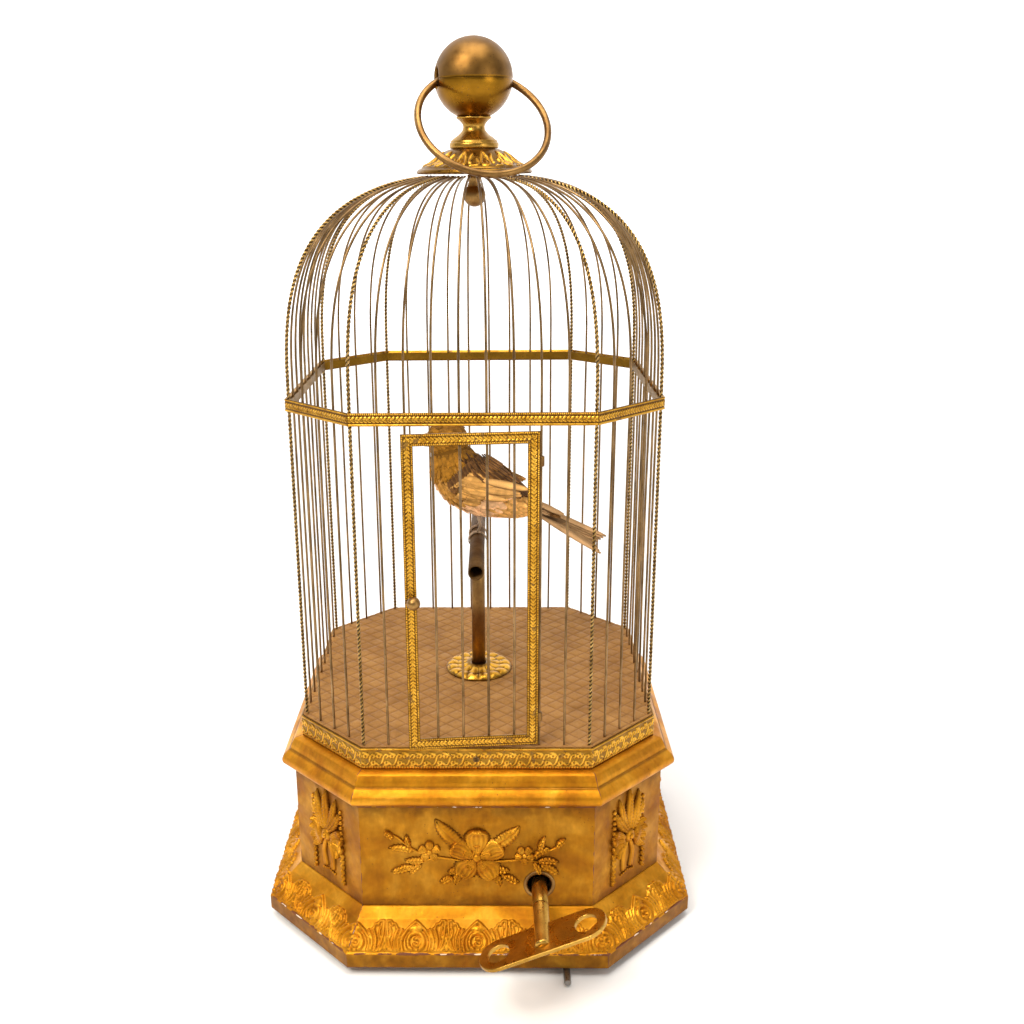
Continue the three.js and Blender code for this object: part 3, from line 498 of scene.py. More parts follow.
def ball_material(equator):
    """The ball's lower half is painted brighter, standing in for the glow of light on it, and its upper half browner,
    with a ragged line between.
    """
    paint = Paint("ball_brass", metallic=1.0)
    split = paint.nodes.new("ShaderNodeSeparateXYZ")
    paint.links.new(paint.place, split.inputs[0])
    rise = paint.math("MULTIPLY", paint.math("SUBTRACT", split.outputs["Z"], equator * MM), 600.0)
    rise = paint.math("ADD", rise, paint.math("MULTIPLY", paint.noise(60, 4), 0.5))
    # Painted light: the upper half takes the browner colour, so the lower half keeps the brighter colour of a painted
    # glow.
    upper = paint.ramp(rise, (0.15, 0.0), (0.55, 1.0))
    low = paint.ramp(paint.noise(70, 5), (0.3, (0.17, 0.075, 0.005)), (0.7, (0.28, 0.13, 0.010)))
    high = paint.ramp(paint.noise(90, 6), (0.3, (0.14, 0.068, 0.016)), (0.7, (0.24, 0.122, 0.030)))
    colour = paint.mix(upper, low, high)
    specks = paint.math("MULTIPLY", paint.math("LESS_THAN", paint.cells(500, "F1"), 0.2), 0.6)
    specks = paint.math("MULTIPLY", specks, paint.math("GREATER_THAN", paint.noise(110, 3), 0.5))
    colour = paint.mix(specks, colour, (0.10, 0.055, 0.02))
    colour = paint.mix(paint.attribute("cavity"), colour, (0.03, 0.015, 0.006))
    paint.set("Base Color", colour)
    paint.set("Roughness", paint.mix(upper, paint.ramp(paint.noise(120, 4), (0.3, 0.24), (0.7, 0.34)),
                                     paint.ramp(paint.noise(160, 5), (0.3, 0.34), (0.7, 0.5))))
    paint.bump(paint.noise(1200, 3), 0.05, 0.0002)
    return paint.material


def leather_material():
    paint = Paint("floor_leather", roughness=0.7, **{"Specular IOR Level": 0.25})
    colour = paint.ramp(paint.noise(45, 6, 0.5), (0.3, (0.24, 0.105, 0.02)), (0.7, (0.37, 0.18, 0.045)))
    colour = paint.mix(0.5, colour, paint.ramp(paint.noise(700, 4), (0.3, 0.7), (0.7, 1.0)), "MULTIPLY")
    # Painted shade: the pressed lines, from the cavity attribute, are darkened.
    colour = paint.mix(paint.attribute("cavity"), colour, (0.17, 0.075, 0.025))
    paint.set("Base Color", colour)
    paint.set("Roughness", paint.ramp(paint.noise(200, 3), (0.3, 0.6), (0.7, 0.85)))
    paint.bump(paint.noise(1100, 5), 0.3, 0.0003)
    return paint.material


def feather_material():
    paint = Paint("feathers", roughness=0.85, **{"Specular IOR Level": 0.15})
    tint = paint.attribute("tint", colour=True)
    barbs = paint.ramp(paint.noise(1400, 3, 0.3, (1, 1, 2.5)), (0.3, 0.62), (0.7, 1.0))
    paint.set("Base Color", paint.mix(0.7, tint, barbs, "MULTIPLY"))
    paint.bump(paint.noise(2200, 3), 0.3, 0.0003)
    return paint.material


def raw_wood_material():
    paint = Paint("raw_wood", roughness=0.75)
    rings = paint.noise(60, 6, 1.5, (1, 0.08, 1))
    colour = paint.ramp(rings, (0.3, (0.16, 0.085, 0.035)), (0.5, (0.29, 0.17, 0.08)), (0.7, (0.38, 0.24, 0.12)))
    paint.set("Base Color", colour)
    paint.bump(rings, 0.3, 0.0005)
    return paint.material


def horn_material():
    paint = Paint("horn", roughness=0.45)
    colour = paint.ramp(paint.noise(300, 4), (0.3, (0.20, 0.12, 0.06)), (0.7, (0.42, 0.29, 0.18)))
    paint.set("Base Color", colour)
    paint.bump(paint.noise(900, 3), 0.2, 0.0002)
    return paint.material


def eye_material():
    paint = Paint("bird_eye", roughness=0.08, **{"Coat Weight": 1.0})
    paint.set("Base Color", paint.ramp(paint.noise(400, 2), (0.3, (0.006, 0.004, 0.003)), (0.7, (0.02, 0.012, 0.008))))
    return paint.material


def backdrop_material():
    paint = Paint("stage_backdrop", roughness=0.9, **{"Emission Strength": 0.85})
    paint.set("Base Color", paint.ramp(paint.noise(1.2, 2), (0.3, (0.88, 0.88, 0.88)), (0.7, (0.90, 0.90, 0.90))))
    paint.shader.inputs["Emission Color"].default_value = (1, 1, 1, 1)
    return paint.material


def stage_material():
    paint = Paint("stage_white", roughness=0.9)
    length = paint.nodes.new("ShaderNodeVectorMath")
    length.operation = "LENGTH"
    paint.links.new(paint.place, length.inputs[0])
    # Painted light: the floor glows, not at all near the object and more and more further away from it.
    away = paint.math("DIVIDE", length.outputs["Value"], 3.2)
    paint.set("Emission Strength", paint.ramp(away, (0.16, 0), (0.9, 0.62)))
    paint.shader.inputs["Emission Color"].default_value = (1, 1, 1, 1)
    paint.set("Base Color", paint.ramp(paint.noise(1.5, 2), (0.3, (0.88, 0.88, 0.88)), (0.7, (0.90, 0.90, 0.90))))
    return paint.material


# ---- the gilded base ------------------------------------------------------------------------------
CAGE_HALF = node_box("lower_wires_right")[1][0] - 0.71
PLINTH_HALF = node_box("plinth")[1][0]
PLINTH_TOP = node_box("plinth")[1][2]
FRIEZE_HALF = node_box("frieze")[1][0]
FRIEZE_LOW, FRIEZE_HIGH = node_box("frieze")[0][2], node_box("frieze")[1][2]
CORNICE_LOW, CORNICE_TOP = node_box("cornice")[0][2], node_box("cornice")[1][2]
CORNICE_HALF = node_box("cornice")[1][0]
WALL = 9.0
PLINTH_EDGE = 10.4
BORDER = 19.7  # width of the carved border, up the slope
BORDER_PERIOD = 39.0


def border_relief(x, y):
    """Carving on the plinth's slope: a curled shell, then a paired leaf, over and over."""
    u = (x + BORDER_PERIOD / 2) % BORDER_PERIOD - BORDER_PERIOD / 2
    v = np.abs(u)
    h = np.full(np.shape(y), 0.05)
    shell = [
        (np.array(arc((0, 6.3), 5.2, -60, 240, 22)), 1.3, 1.25),
        (np.array(arc((0.9, 6.0), 2.2, -150, 120, 14)), 1.1, 1.2),
        (bezier((8.2, 0.8), (10.6, 6.5), (7.0, 11.4)), 1.05, 1.25),
        (bezier((10.4, 0.6), (13.0, 7.2), (8.8, 13.2)), 1.05, 1.2),
        (bezier((12.6, 0.5), (15.4, 7.6), (11.4, 14.0)), 1.0, 1.1),
        (bezier((9.2, 8.4), (6.4, 13.4), (0, 18.4)), 1.0, 1.3),
    ]
    for i, (line, width, height) in enumerate(shell):
        h = np.maximum(h, ridge(u if i == 1 else v, y, line, width, height))
    h = np.maximum(h, bump(v, y, (0, 13.9), (4.4, 2.7), 1.1))
    leaf = [
        (bezier((14.4, 0.5), (18.6, 6.0), (18.5, 18.6)), 0.8, 1.25),
        (bezier((16.0, 0.5), (19.2, 4.0), (19.4, 9.0)), 0.7, 1.1),
        (bezier((18.5, 18.2), (15.8, 20.2), (15.0, 16.2)), 0.75, 1.15),
        (bezier((15.2, 16.4), (12.8, 18.2), (12.4, 14.4)), 0.75, 1.1),
        (bezier((16.6, 15.0), (15.2, 12.0), (16.6, 8.4)), 0.7, 1.0),
    ]
    for line, width, height in leaf:
        h = np.maximum(h, ridge(v, y, line, width, height))
    h = np.maximum(h, bump(v, y, (19.5, 2.6), (1.5, 2.4), 0.9))
    veins = 0.12 * np.sin(2.2 * v + 1.7 * y) * np.sin(1.3 * y)
    inside = (y > 0.2) & (y < BORDER)
    return np.where(inside, np.clip(1.45 * (h + veins * (h > 0.3)), 0, 2.0), 0)


def add_plinth(gilt):
    foot = np.array([PLINTH_HALF - 0.4, PLINTH_EDGE])
    head = np.array([FRIEZE_HALF + 0.9, PLINTH_TOP - 0.5])
    inner = FRIEZE_HALF - WALL
    edge = np.vstack([smooth_line([(inner, 0), (PLINTH_HALF - 0.6, 0)], 6)[:-1],
                      bezier((PLINTH_HALF - 0.6, 0), (PLINTH_HALF, 0), (PLINTH_HALF, 0.6), 4)[:-1],
                      smooth_line([(PLINTH_HALF, 0.6), (PLINTH_HALF, PLINTH_EDGE - 0.9)], 0.8)[:-1],
                      bezier((PLINTH_HALF, PLINTH_EDGE - 0.9), (PLINTH_HALF, PLINTH_EDGE), foot, 4)[:-1]])
    slope = smooth_line([foot, head], 0.42)
    rest = np.array([[FRIEZE_HALF - 0.6, PLINTH_TOP], [inner, PLINTH_TOP]])
    outline = np.vstack([edge, slope, rest])
    start = run_along(outline)[len(edge)] + 0.9

    def relief(side, x, s):
        groove = -0.35 * np.exp(-(((s - start) / 0.45) ** 2))
        return border_relief(x, s - start) + groove

    wear = 0.85 * edge_exposure(outline, [(PLINTH_HALF, 0), (PLINTH_HALF, PLINTH_EDGE)], 1.6)
    points, faces, height, exposure = moulding(outline, 0.5, relief=relief, wear=wear, fade=1.0)
    # Painted shade: the hollows of the carved border and the groove above the edge are darkened, and the upright edge
    # below the slope evenly so.
    on_border = (height > 0.01) | (height < -0.05)
    cavity = np.where(on_border, np.clip(1.5 - np.abs(height - 0.3) / 0.17, 0, 1), 0)
    cavity = np.where(points[:, 2] < PLINTH_EDGE - 0.6, 0.75, cavity)
    piece = mesh_object("plinth_carved", points, faces, gilt, attributes={"cavity": cavity, "wear": exposure})
    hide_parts("plinth")


def add_frieze(gilt):
    inner = FRIEZE_HALF - WALL
    corners = [(inner, FRIEZE_LOW), (FRIEZE_HALF, FRIEZE_LOW), (FRIEZE_HALF, FRIEZE_HIGH), (inner, FRIEZE_HIGH)]
    outline = smooth_line([*corners, corners[0]], 4)[:-1]
    points, faces, _, exposure = moulding(outline, 1.0)
    # Painted shade: the whole upright frieze is darkened, and more at its foot and just under the cornice.
    crease_shade = np.exp(-((points[:, 2] - FRIEZE_LOW) / 5) ** 2) + np.exp(-((FRIEZE_HIGH - points[:, 2]) / 7) ** 2)
    piece = mesh_object("frieze_panels", points, faces, gilt, smooth=False,
                        attributes={"cavity": 0.46 + 0.35 * crease_shade, "wear": 0.95 * exposure})
    bore(piece, key_axis(), 9.3, FRIEZE_HALF)
    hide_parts("frieze")


def key_axis():
    low, high = node_box("key_shaft")
    return (low[0] + high[0]) / 2, (low[2] + high[2]) / 2


def bore(piece, axis, radius, half):
    """Cuts a round hole front to back through the front wall of a piece."""
    bpy.ops.mesh.primitive_cylinder_add(
        vertices=48, radius=radius * MM, depth=(WALL + 8) * MM,
        location=(axis[0] * MM, -(half - WALL / 2) * MM, (axis[1] + LIFT[2]) * MM), rotation=(math.pi / 2, 0, 0))
    cutter = bpy.context.object
    cut = piece.modifiers.new("hole", "BOOLEAN")
    cut.operation, cut.object, cut.solver = "DIFFERENCE", cutter, "EXACT"
    evaluated = piece.evaluated_get(bpy.context.evaluated_depsgraph_get())
    mesh = bpy.data.meshes.new_from_object(evaluated)
    piece.modifiers.clear()
    piece.data = mesh
    bpy.data.objects.remove(cutter)


def add_cornice(gilt):
    low, nose = CORNICE_LOW, CORNICE_HALF
    profile = curve([(nose - 7.1, low), (nose - 6.3, low + 1.4), (nose - 3.6, low + 3.3), (nose - 0.9, low + 5.2),
                     (nose, low + 7.6), (nose - 0.5, low + 10.2), (nose - 2.4, low + 12.6),
                     (nose - 4.2, low + 14.2), (nose - 4.7, low + 14.8)], 6)
    fillet = [(nose - 5.3, low + 14.9)]
    cove = curve([(nose - 5.6, low + 15.2), (nose - 6.3, low + 18.0), (nose - 7.6, low + 20.6),
                  (nose - 8.2, low + 21.6)], 6)
    shelf = [(nose - 9.0, CORNICE_TOP - 0.9), (nose - 12.6, CORNICE_TOP), (FRIEZE_HALF - WALL - 10, CORNICE_TOP)]
    inner = [(FRIEZE_HALF - WALL - 10, low)]
    outline = np.vstack([inner, profile, fillet, cove, shelf])
    wear = 0.84 * edge_exposure(outline, [(nose - 6.7, low + 0.5)], 2.4)
    points, faces, _, exposure = moulding(outline, 0.8, wear=wear)
    # Painted shade: darker on the underside of the moulding and in the crease at its fillet step.
    under = np.clip((low + 2.5 - points[:, 2]) / 2.5, 0, 1) * 0.8
    step = np.exp(-((points[:, 2] - low - 15.0) / 0.7) ** 2) * 0.7
    piece = mesh_object("cornice_moulding", points, faces, gilt,
                        attributes={"cavity": np.maximum(under, step), "wear": exposure})
    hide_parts("cornice")


# ---- carved trails on the frieze --------------------------------------------------------------------
def blade(spine, half_width, crown, ribs=0.0, rib_pitch=2.6, slant=1.5, notch=0.0, lift=0.0, across=13):
    """A closed leaf or petal on a flat ground: a line with a width, crowned, with a midrib and veins."""
    spine = np.asarray(spine, float)
    rows = len(spine)
    along = np.gradient(spine, axis=0)
    along /= np.linalg.norm(along, axis=1, keepdims=True)
    side = np.stack([-along[:, 1], along[:, 0]], -1)
    v = np.linspace(-1, 1, across)[None]
    travelled = np.concatenate([[0], np.cumsum(np.linalg.norm(np.diff(spine, axis=0), axis=1))])[:, None]
    width = np.asarray(half_width, float)[:, None]
    wave = (travelled + slant * np.abs(v)) / rib_pitch
    width_here = width * (1 + notch * (np.abs(2 * (wave % 1) - 1) - 0.5))
    place = spine[:, None] + (v * width_here)[..., None] * side[:, None]
    height = crown * (1 - np.abs(v) ** 2.4) ** 0.7 * np.minimum(1, width / max(width.max(), 1e-6) * 1.6)
    height = height + lift + ribs * np.cos(2 * math.pi * wave) * (np.abs(v) > 0.12) * (1 - v**4)
    height = height - 0.42 * min(1, ribs * 4) * crown * np.exp(-((v / 0.14) ** 2))
    top = np.dstack([place, np.maximum(height, 0.05)])
    ground = np.dstack([place[:, [-1, 0]], np.full((rows, 2), -0.3)])
    ring = np.concatenate([top, ground], axis=1)
    count = across + 2
    faces = [list(f) for f in quads(rows, count, wrap_columns=True)]
    last = (rows - 1) * count
    faces += [list(range(count)), list(range(last, last + count))[::-1]]
    flat_height = np.concatenate([height, np.zeros((rows, 2))], axis=1)
    # Painted shade: the blade is darkened where it is low, towards its edges and its foot on the ground.
    cavity = np.clip(1.05 - 1.25 * flat_height / max(crown + lift, 0.4), 0, 0.95)
    return ring.reshape(-1, 3), faces, cavity.ravel()


def leaf_width(count, width, blunt=0.75):
    t = np.linspace(0.02, 0.99, count)
    return width * np.sin(math.pi * t**0.85) ** blunt + 0.12


def leaf(start, end, width, bend=0.15, crown=1.7, notch=0.35, lift=0.0, rows=26):
    start, end = np.array(start, float), np.array(end, float)
    sideways = np.array([-(end - start)[1], (end - start)[0]]) * bend
    spine = bezier(start, (start + end) / 2 + sideways, end, rows)
    return blade(spine, leaf_width(rows, width), crown * 1.2, 0.42, 2.4, 2.0, notch, lift)


def petal(start, angle, length, width, crown=1.6, lift=0.8, rows=16):
    way = np.array([math.cos(angle), math.sin(angle)])
    spine = np.array(start) + way * np.linspace(0.1, 1, rows)[:, None] * length
    t = np.linspace(0.05, 1, rows)
    profile = width * np.sqrt(np.clip(np.sin(math.pi * np.clip(t, 0, 0.985) ** 1.6), 0.02, 1))
    plain = blade(spine, profile, crown, 0.0, 1.7, 0.0, 0.14, lift, across=25)
    points = plain[0].reshape(rows, 27, 3)
    fan = np.cos(np.linspace(-1, 1, 25) * 5.5 * math.pi) * 0.3 * np.linspace(0.2, 1, rows)[:, None]
    rim = 0.5 * np.exp(-((np.linspace(0, 1, rows)[:, None] - 0.93) / 0.06) ** 2) * np.ones(25)
    dip = -0.45 * crown * np.exp(-((np.linspace(0, 1, rows)[:, None] - 0.62) / 0.22) ** 2) * np.ones(25)
    change = (fan + rim + dip * min(1, length / 16)) * (points[:, :25, 2] > 0.2)
    points[:, :25, 2] = np.maximum(points[:, :25, 2] + change, 0.05)
    # Painted shade: the troughs between the fanned ribs are darkened, the ribs and rolled rim kept light.
    cavity = plain[2].reshape(rows, 27)
    cavity[:, :25] = np.clip(cavity[:, :25] - 1.1 * (fan + rim) + 0.15, 0, 0.95)
    return points.reshape(-1, 3), plain[1], cavity.ravel()


def stem(points, width=0.9, height=1.2):
    spine = curve(points, 7)
    taper = np.linspace(1, 0.75, len(spine)) * width
    return blade(spine, taper, height, across=7)


def knob(centre, radius, height, lift=0.0, sides=20, rows=7):
    """A rounded boss on a flat ground."""
    tilt = np.linspace(0, math.pi / 2, rows)
    outline = np.vstack([[(radius, -0.3)], np.column_stack([radius * np.cos(tilt), lift + height * np.sin(tilt)])])
    points, faces, _ = lathe(outline, sides)
    # Painted shade: the boss is darkened towards its foot on the ground.
    cavity = np.clip(0.8 - (points[:, 2] - lift) / max(height, 0.3), 0, 0.8)
    return points + [*centre, 0], faces, cavity


def small_flower(centre, radius, turn=0.3):
    shapes = [petal(centre, turn + i * 2 * math.pi / 5, radius, radius * 0.42, 1.3, 0.6, 10) for i in range(5)]
    return shapes + [knob(centre, radius * 0.27, 1.4, 1.2, 12, 5)]


def front_spray():
    """The trail on a wide face, flat on XY with +Z outwards: a wild rose between two leafy stems."""
    shapes = [
        stem([(0, -4), (-14, -3), (-26, -1), (-40, 4), (-50, 13), (-55, 15)]),
        stem([(0, -4), (14, -4), (28, -3), (40, 1), (50, 6), (54, 9)]),
        stem([(-4, -6), (-12, -12), (-18, -20)], 0.7), stem([(6, -6), (14, -12), (22, -20)], 0.7),
        stem([(-26, -1), (-38, -6), (-50, -9)], 0.7), stem([(28, -3), (40, -5), (48, -10)], 0.7),
        leaf((-8, 6), (-26, 26), 5.2, 0.12), leaf((9, 6), (27, 21), 5.0, -0.12),
        leaf((-9, -9), (-19, -12), 2.7, 0.1), leaf((-10, -11), (-14, -22), 2.7, -0.1),
        leaf((-16, -15), (-24, -20), 2.4, 0.1),
        leaf((9, -9), (21, -11), 2.7, -0.1), leaf((10, -12), (15, -23), 2.7, 0.1),
        leaf((17, -14), (27, -20), 2.6, -0.1),
        leaf((-40, 3), (-56, 5), 2.7, -0.15), leaf((-33, -3), (-46, -3.5), 2.5, 0.1),
        leaf((-40, -7), (-55, -12), 2.8, 0.1), leaf((-35, -6), (-43, -14), 2.5, -0.1),
        leaf((-42, 6), (-44, 15), 2.0, 0.2),
        leaf((36, -1), (46, 5.5), 2.5, 0.15), leaf((38, -4), (52, -5), 2.6, 0.1),
        leaf((40, -6), (52, -14), 2.8, 0.1), leaf((36, -5), (40, -14), 2.3, 0.1),
        leaf((-52, 13), (-58, 18), 2.3, 0.2, 2.0, 0.2), leaf((40, 2), (43, 14), 2.4, 0.15, 2.0, 0.2),
        leaf((50, 6), (56, 12), 2.2, 0.15, 2.0, 0.2),
    ]
    shapes += small_flower((-30, 3), 7.2) + small_flower((30, 0.5), 6.4, 0.9)
    for angle, length, width in ((1.57, 19, 8.6), (2.75, 18, 8.0), (0.35, 18, 8.2), (-2.2, 18, 8.4), (-0.95, 19, 8.6)):
        shapes.append(petal((0, 0), angle, length, width, 2.3, 1.0, 24))
    for angle in (1.57, 2.75, 0.35, -2.2, -0.95):
        shapes.append(petal((0, 0), angle, 9.5, 3.6, 1.2, 2.3, 14))
    shapes.append(knob((0, 0), 3.0, 1.8, 2.6))
    for i in range(9):
        turn = i * 2 * math.pi / 9
        shapes.append(knob((4.1 * math.cos(turn), 4.1 * math.sin(turn)), 0.8, 0.8, 2.9, 8, 4))
    return shapes


def corner_spray():
    """The upright ornament on a corner face: a plume of leaves, looped petals and a fringed ribbon."""
    shapes = []
    for spread, length in ((-0.62, 24), (-0.34, 29), (0, 32), (0.34, 29), (0.62, 24)):
        tip = (length * math.sin(spread), 2 + length * math.cos(spread))
        shapes.append(leaf((2.2 * math.sin(spread), 3), tip, 3.6, -0.12 * np.sign(spread), 2.0, 0.4))
    for side in (-1, 1):
        for angle, length in ((0.55, 15), (0.1, 14.5), (-0.38, 15), (-0.85, 15)):
            way = angle if side > 0 else math.pi - angle
            shapes.append(petal((side * 2.5, -1), way, length, 3.4, 2.2, 0.7, 16))
        shapes.append(blade(curve([(side * 1.5, -4), (side * 4.6, -14), (side * 3.6, -25)], 8),
                            np.linspace(1.6, 2.9, 17), 1.5, 0.2, 40, 0))
        for i in range(6):
            shapes.append(knob((side * 14.6, 22 - 3.8 * i), 1.7, 1.4, 0, 10, 5))
            shapes.append(leaf((side * 13.6, -8 - 3.9 * i), (side * 16.4, -12.2 - 3.9 * i), 1.5, 0.2, 1.3, 0.2, rows=9))
    for i in range(7):
        shapes.append(knob((-6 + 2 * i, -26.5 - abs(3 - i) * 0.5), 0.95, 0.9, 0.2, 8, 4))
    shapes.append(knob((0, 0), 4.6, 2.2, 0.8, 24))
    shapes.append(knob((0, 0), 2.2, 1.2, 2.6, 16, 5))
    return shapes


CARVING_DEPTH = 1.3


def add_sprays(gilt):
    middle = (FRIEZE_LOW + FRIEZE_HIGH) / 2
    diagonal = np.linalg.norm((octagon(FRIEZE_HALF)[1] + octagon(FRIEZE_HALF)[2]) / 2)
    wide, narrow = front_spray(), corner_spray()
    for turn, name in enumerate(FACES):
        is_wide = turn % 2 == 0
        face = Parts()
        out = math.radians(45 * turn - 90)
        reach = FRIEZE_HALF if is_wide else diagonal
        across = (-math.sin(out), math.cos(out), 0)
        for shape in wide if is_wide else narrow:
            points = np.asarray(shape[0]).reshape(-1, 3) * [1, 1, CARVING_DEPTH]
            face.add((stand(points, across, (0, 0, 1), (math.cos(out), math.sin(out), 0),
                            (reach * math.cos(out), reach * math.sin(out), middle + 1.6)), shape[1]),
                     cavity=shape[2], wear=0.0)
        node = f"spray_{name}" if is_wide else f"corner_spray_{name}"
        piece = face.piece(f"carved_{node}", gilt)
        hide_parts(node)


# ---- stamped brass bands ------------------------------------------------------------------------------
BAND_THICK = 0.9


def scroll_relief(x, y):
    """Running S-scrolls with small curls between them, over a row of beads."""
    period = 8.3
    u = (x + period / 2) % period - period / 2
    h = np.zeros(np.shape(x + y))
    for line in (curve([(-3.9, 4.2), (-3.1, 3.0), (-1.6, 3.0), (-0.4, 4.6), (0.2, 6.4), (1.0, 9.2), (2.6, 10.0),
                        (3.4, 8.8), (2.6, 7.8)], 3),
                 arc((-2.3, 8.9), 1.25, -60, 230, 8), arc((2.4, 4.2), 1.2, 120, 410, 8),
                 bezier((-3.9, 11.2), (-1.4, 11.6), (-0.4, 9.6), 5), bezier((0.6, 2.4), (3.4, 2.2), (4.4, 4.6), 5)):
        h = np.maximum(h, ridge(u, y, line, 0.62, 0.5))
    bead = (x + 0.85) % 1.7 - 0.85
    h = np.maximum(h, bump(bead, y, (0, 1.2), (0.72, 0.72), 0.4))
    return h


def chain_relief(x, y, high, both=False):
    """A chain of laurel leaves between a row of fine beads and a plain line."""
    bead = (x + 0.575) % 1.15 - 0.575
    h = bump(bead, y, (0, high - 0.75), (0.46, 0.52), 0.5)
    if both:
        h = np.maximum(h, bump(bead, y, (0, 0.75), (0.46, 0.52), 0.5))
    else:
        h = np.maximum(h, ridge(x * 0, y, [(-1, 0.7), (1, 0.7)], 0.6, 0.5))
    period, middle = 4.6, high / 2
    u = (x + period / 2) % period - period / 2
    for side in (-1, 1):
        for place in (-1.2, 1.1):
            h = np.maximum(h, bump(u, y, (place, middle + side * 0.98), (1.35, 0.58), 0.46, side * 0.5))
        h = np.maximum(h, bump(u, y, (-0.1, middle + side * 0.3), (0.75, 0.34), 0.36, -side * 0.3))
    return np.maximum(h, ridge(x * 0, y, [(-1, middle), (1, middle)], 0.3, 0.24))


def strip_band(name, node, half, low, high, thick, step, relief, material, lip=0.6, ground=0.9):
    outline = np.vstack([[(half - thick, high), (half - thick, low)],
                         smooth_line([(half, low), (half, high)], step)])
    start = high - low + thick

    def raised(side, x, s):
        y = s - start
        h = relief(x, y)
        h = np.maximum(h, 0.42 * np.exp(-((y - (high - low) + lip) / 0.5) ** 2) if lip else h)
        return np.where((y > 0) & (y < high - low), h, 0)

    points, faces, height, _ = moulding(outline, step, relief=raised, fade=0.5)
    # Painted shade: the flat ground around the raised pattern is darkened, and the strip's inner faces a little.
    cavity = np.clip(ground - height / 0.3, 0, ground)
    cavity = np.where(np.arange(len(points)) % len(outline) < 2, 0.2, cavity)
    piece = mesh_object(name, points, faces, material, attributes={"cavity": cavity})
    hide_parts(node)
    return piece


def add_bands(stamped, steel):
    low, high = node_box("base_band")
    strip_band("stamped_base_band", "base_band", high[0] - 0.2, low[2], high[2], BAND_THICK, 0.3, scroll_relief,
               stamped, ground=0.6)
    low, high = node_box("mid_rail")
    tall = high[2] - low[2]
    strip_band("stamped_mid_rail", "mid_rail", high[0] - 0.15, low[2], high[2], 0.6, 0.24,
               lambda x, y: chain_relief(x, y, tall), stamped, lip=0)
    low, high = node_box("band_screw")
    points, faces, _ = lathe([(0.05, 0), (1.9, 0), (2.1, 0.5), (1.6, 0.9), (1.1, 0.5), (0.05, 0.3)], 24)
    middle = (low[2] + high[2]) / 2
    points = stand(points, (1, 0, 0), (0, 0, 1), (0, -1, 0), (0, node_box("base_band")[0][1] - 0.1, middle))
    # Painted shade: the dished middle of the head is darkened.
    from_axis = np.hypot(points[:, 0], points[:, 2] - middle)
    screw = mesh_object("band_screw_head", points, faces, steel,
                        attributes={"cavity": np.clip(1.4 - from_axis / 1.7, 0, 0.9)})
    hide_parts("band_screw")


# ---- the wires ------------------------------------------------------------------------------------
WIRE_R = 0.75
RAIL_LINING = (110.65, 111.2)  # inner and outer half width of the strip behind the mid rail
WIRE_FOOT = node_box("lower_wires_right")[0][2]
DOME_Z = 350.0
CROWN_Z = node_box("crown_cap")[0][2]
WIRE_TOP_R = 33.0
TOP_SHARE = 0.3
DOME_RISE = (CROWN_Z - 0.3 - 1.15 - DOME_Z) / (1 - TOP_SHARE**3) ** (1 / 3)


def wire_path(foot, wobble, step=3.5, top=True):
    """A wire from its foot straight up to the shoulder, then over the dome to the crown."""
    foot = np.array(foot, float)
    reach = np.linalg.norm(foot)
    low = np.arange(WIRE_FOOT, DOME_Z, step)
    bow = np.sin(math.pi * (low - WIRE_FOOT) / (DOME_Z - WIRE_FOOT))[:, None] * wobble[None]
    straight = np.column_stack([foot + bow, low])
    if not top:
        return straight
    turn = np.linspace(0, 1, 44)
    share = 1 - (1 - TOP_SHARE) * turn**1.6
    z = DOME_Z + DOME_RISE * np.cbrt(1 - share**3)
    r = WIRE_TOP_R + (reach - WIRE_TOP_R) * (share - TOP_SHARE) / (1 - TOP_SHARE)
    bend = np.sin(math.pi * turn)[:, None] * wobble[None] * 0.6
    dome = np.column_stack([foot / reach * r[:, None] + bend, z])
    return np.vstack([straight, dome])


def resample(path, step):
    gap = np.linalg.norm(np.diff(path, axis=0), axis=1)
    travelled = np.concatenate([[0], np.cumsum(gap)])
    at = np.linspace(0, travelled[-1], int(travelled[-1] / step) + 1)
    return np.column_stack([np.interp(at, travelled, path[:, i]) for i in range(3)])


def twisted_wire(path, pitch=5.4, strand=0.62, offset=0.56):
    """Two strands laid round each other along a path."""
    path = resample(path, pitch / 14)
    along = np.gradient(path, axis=0)
    along /= np.linalg.norm(along, axis=1, keepdims=True)
    out = path * [1, 1, 0]
    out /= np.linalg.norm(out, axis=1, keepdims=True)
    across = np.cross(along, out)
    across /= np.linalg.norm(across, axis=1, keepdims=True)
    out = np.cross(across, along)
    shapes = []
    for phase in (0, math.pi):
        turn = 2 * math.pi * np.arange(len(path)) / 14 + phase
        line = path + offset * (np.cos(turn)[:, None] * out + np.sin(turn)[:, None] * across)
        points, faces = tube(line, strand, across, 7)
        # Painted shade: each strand is darkened on its inner side, nearer the wire's axis, where the strands lie
        # against each other.
        gap = np.linalg.norm(points.reshape(len(path), 7, 3) - path[:, None], axis=2).ravel()
        shapes.append((points, faces, np.clip((1.13 - gap) / 0.15, 0, 1)))
    return shapes


def face_feet(turn):
    """Feet of the plain wires of one face, and its first corner."""
    a, b = octagon(CAGE_HALF)[turn], octagon(CAGE_HALF)[(turn + 1) % CORNERS]
    gaps = 9 if turn % 2 == 0 else 4
    return [a + (b - a) * i / gaps for i in range(1, gaps)], a


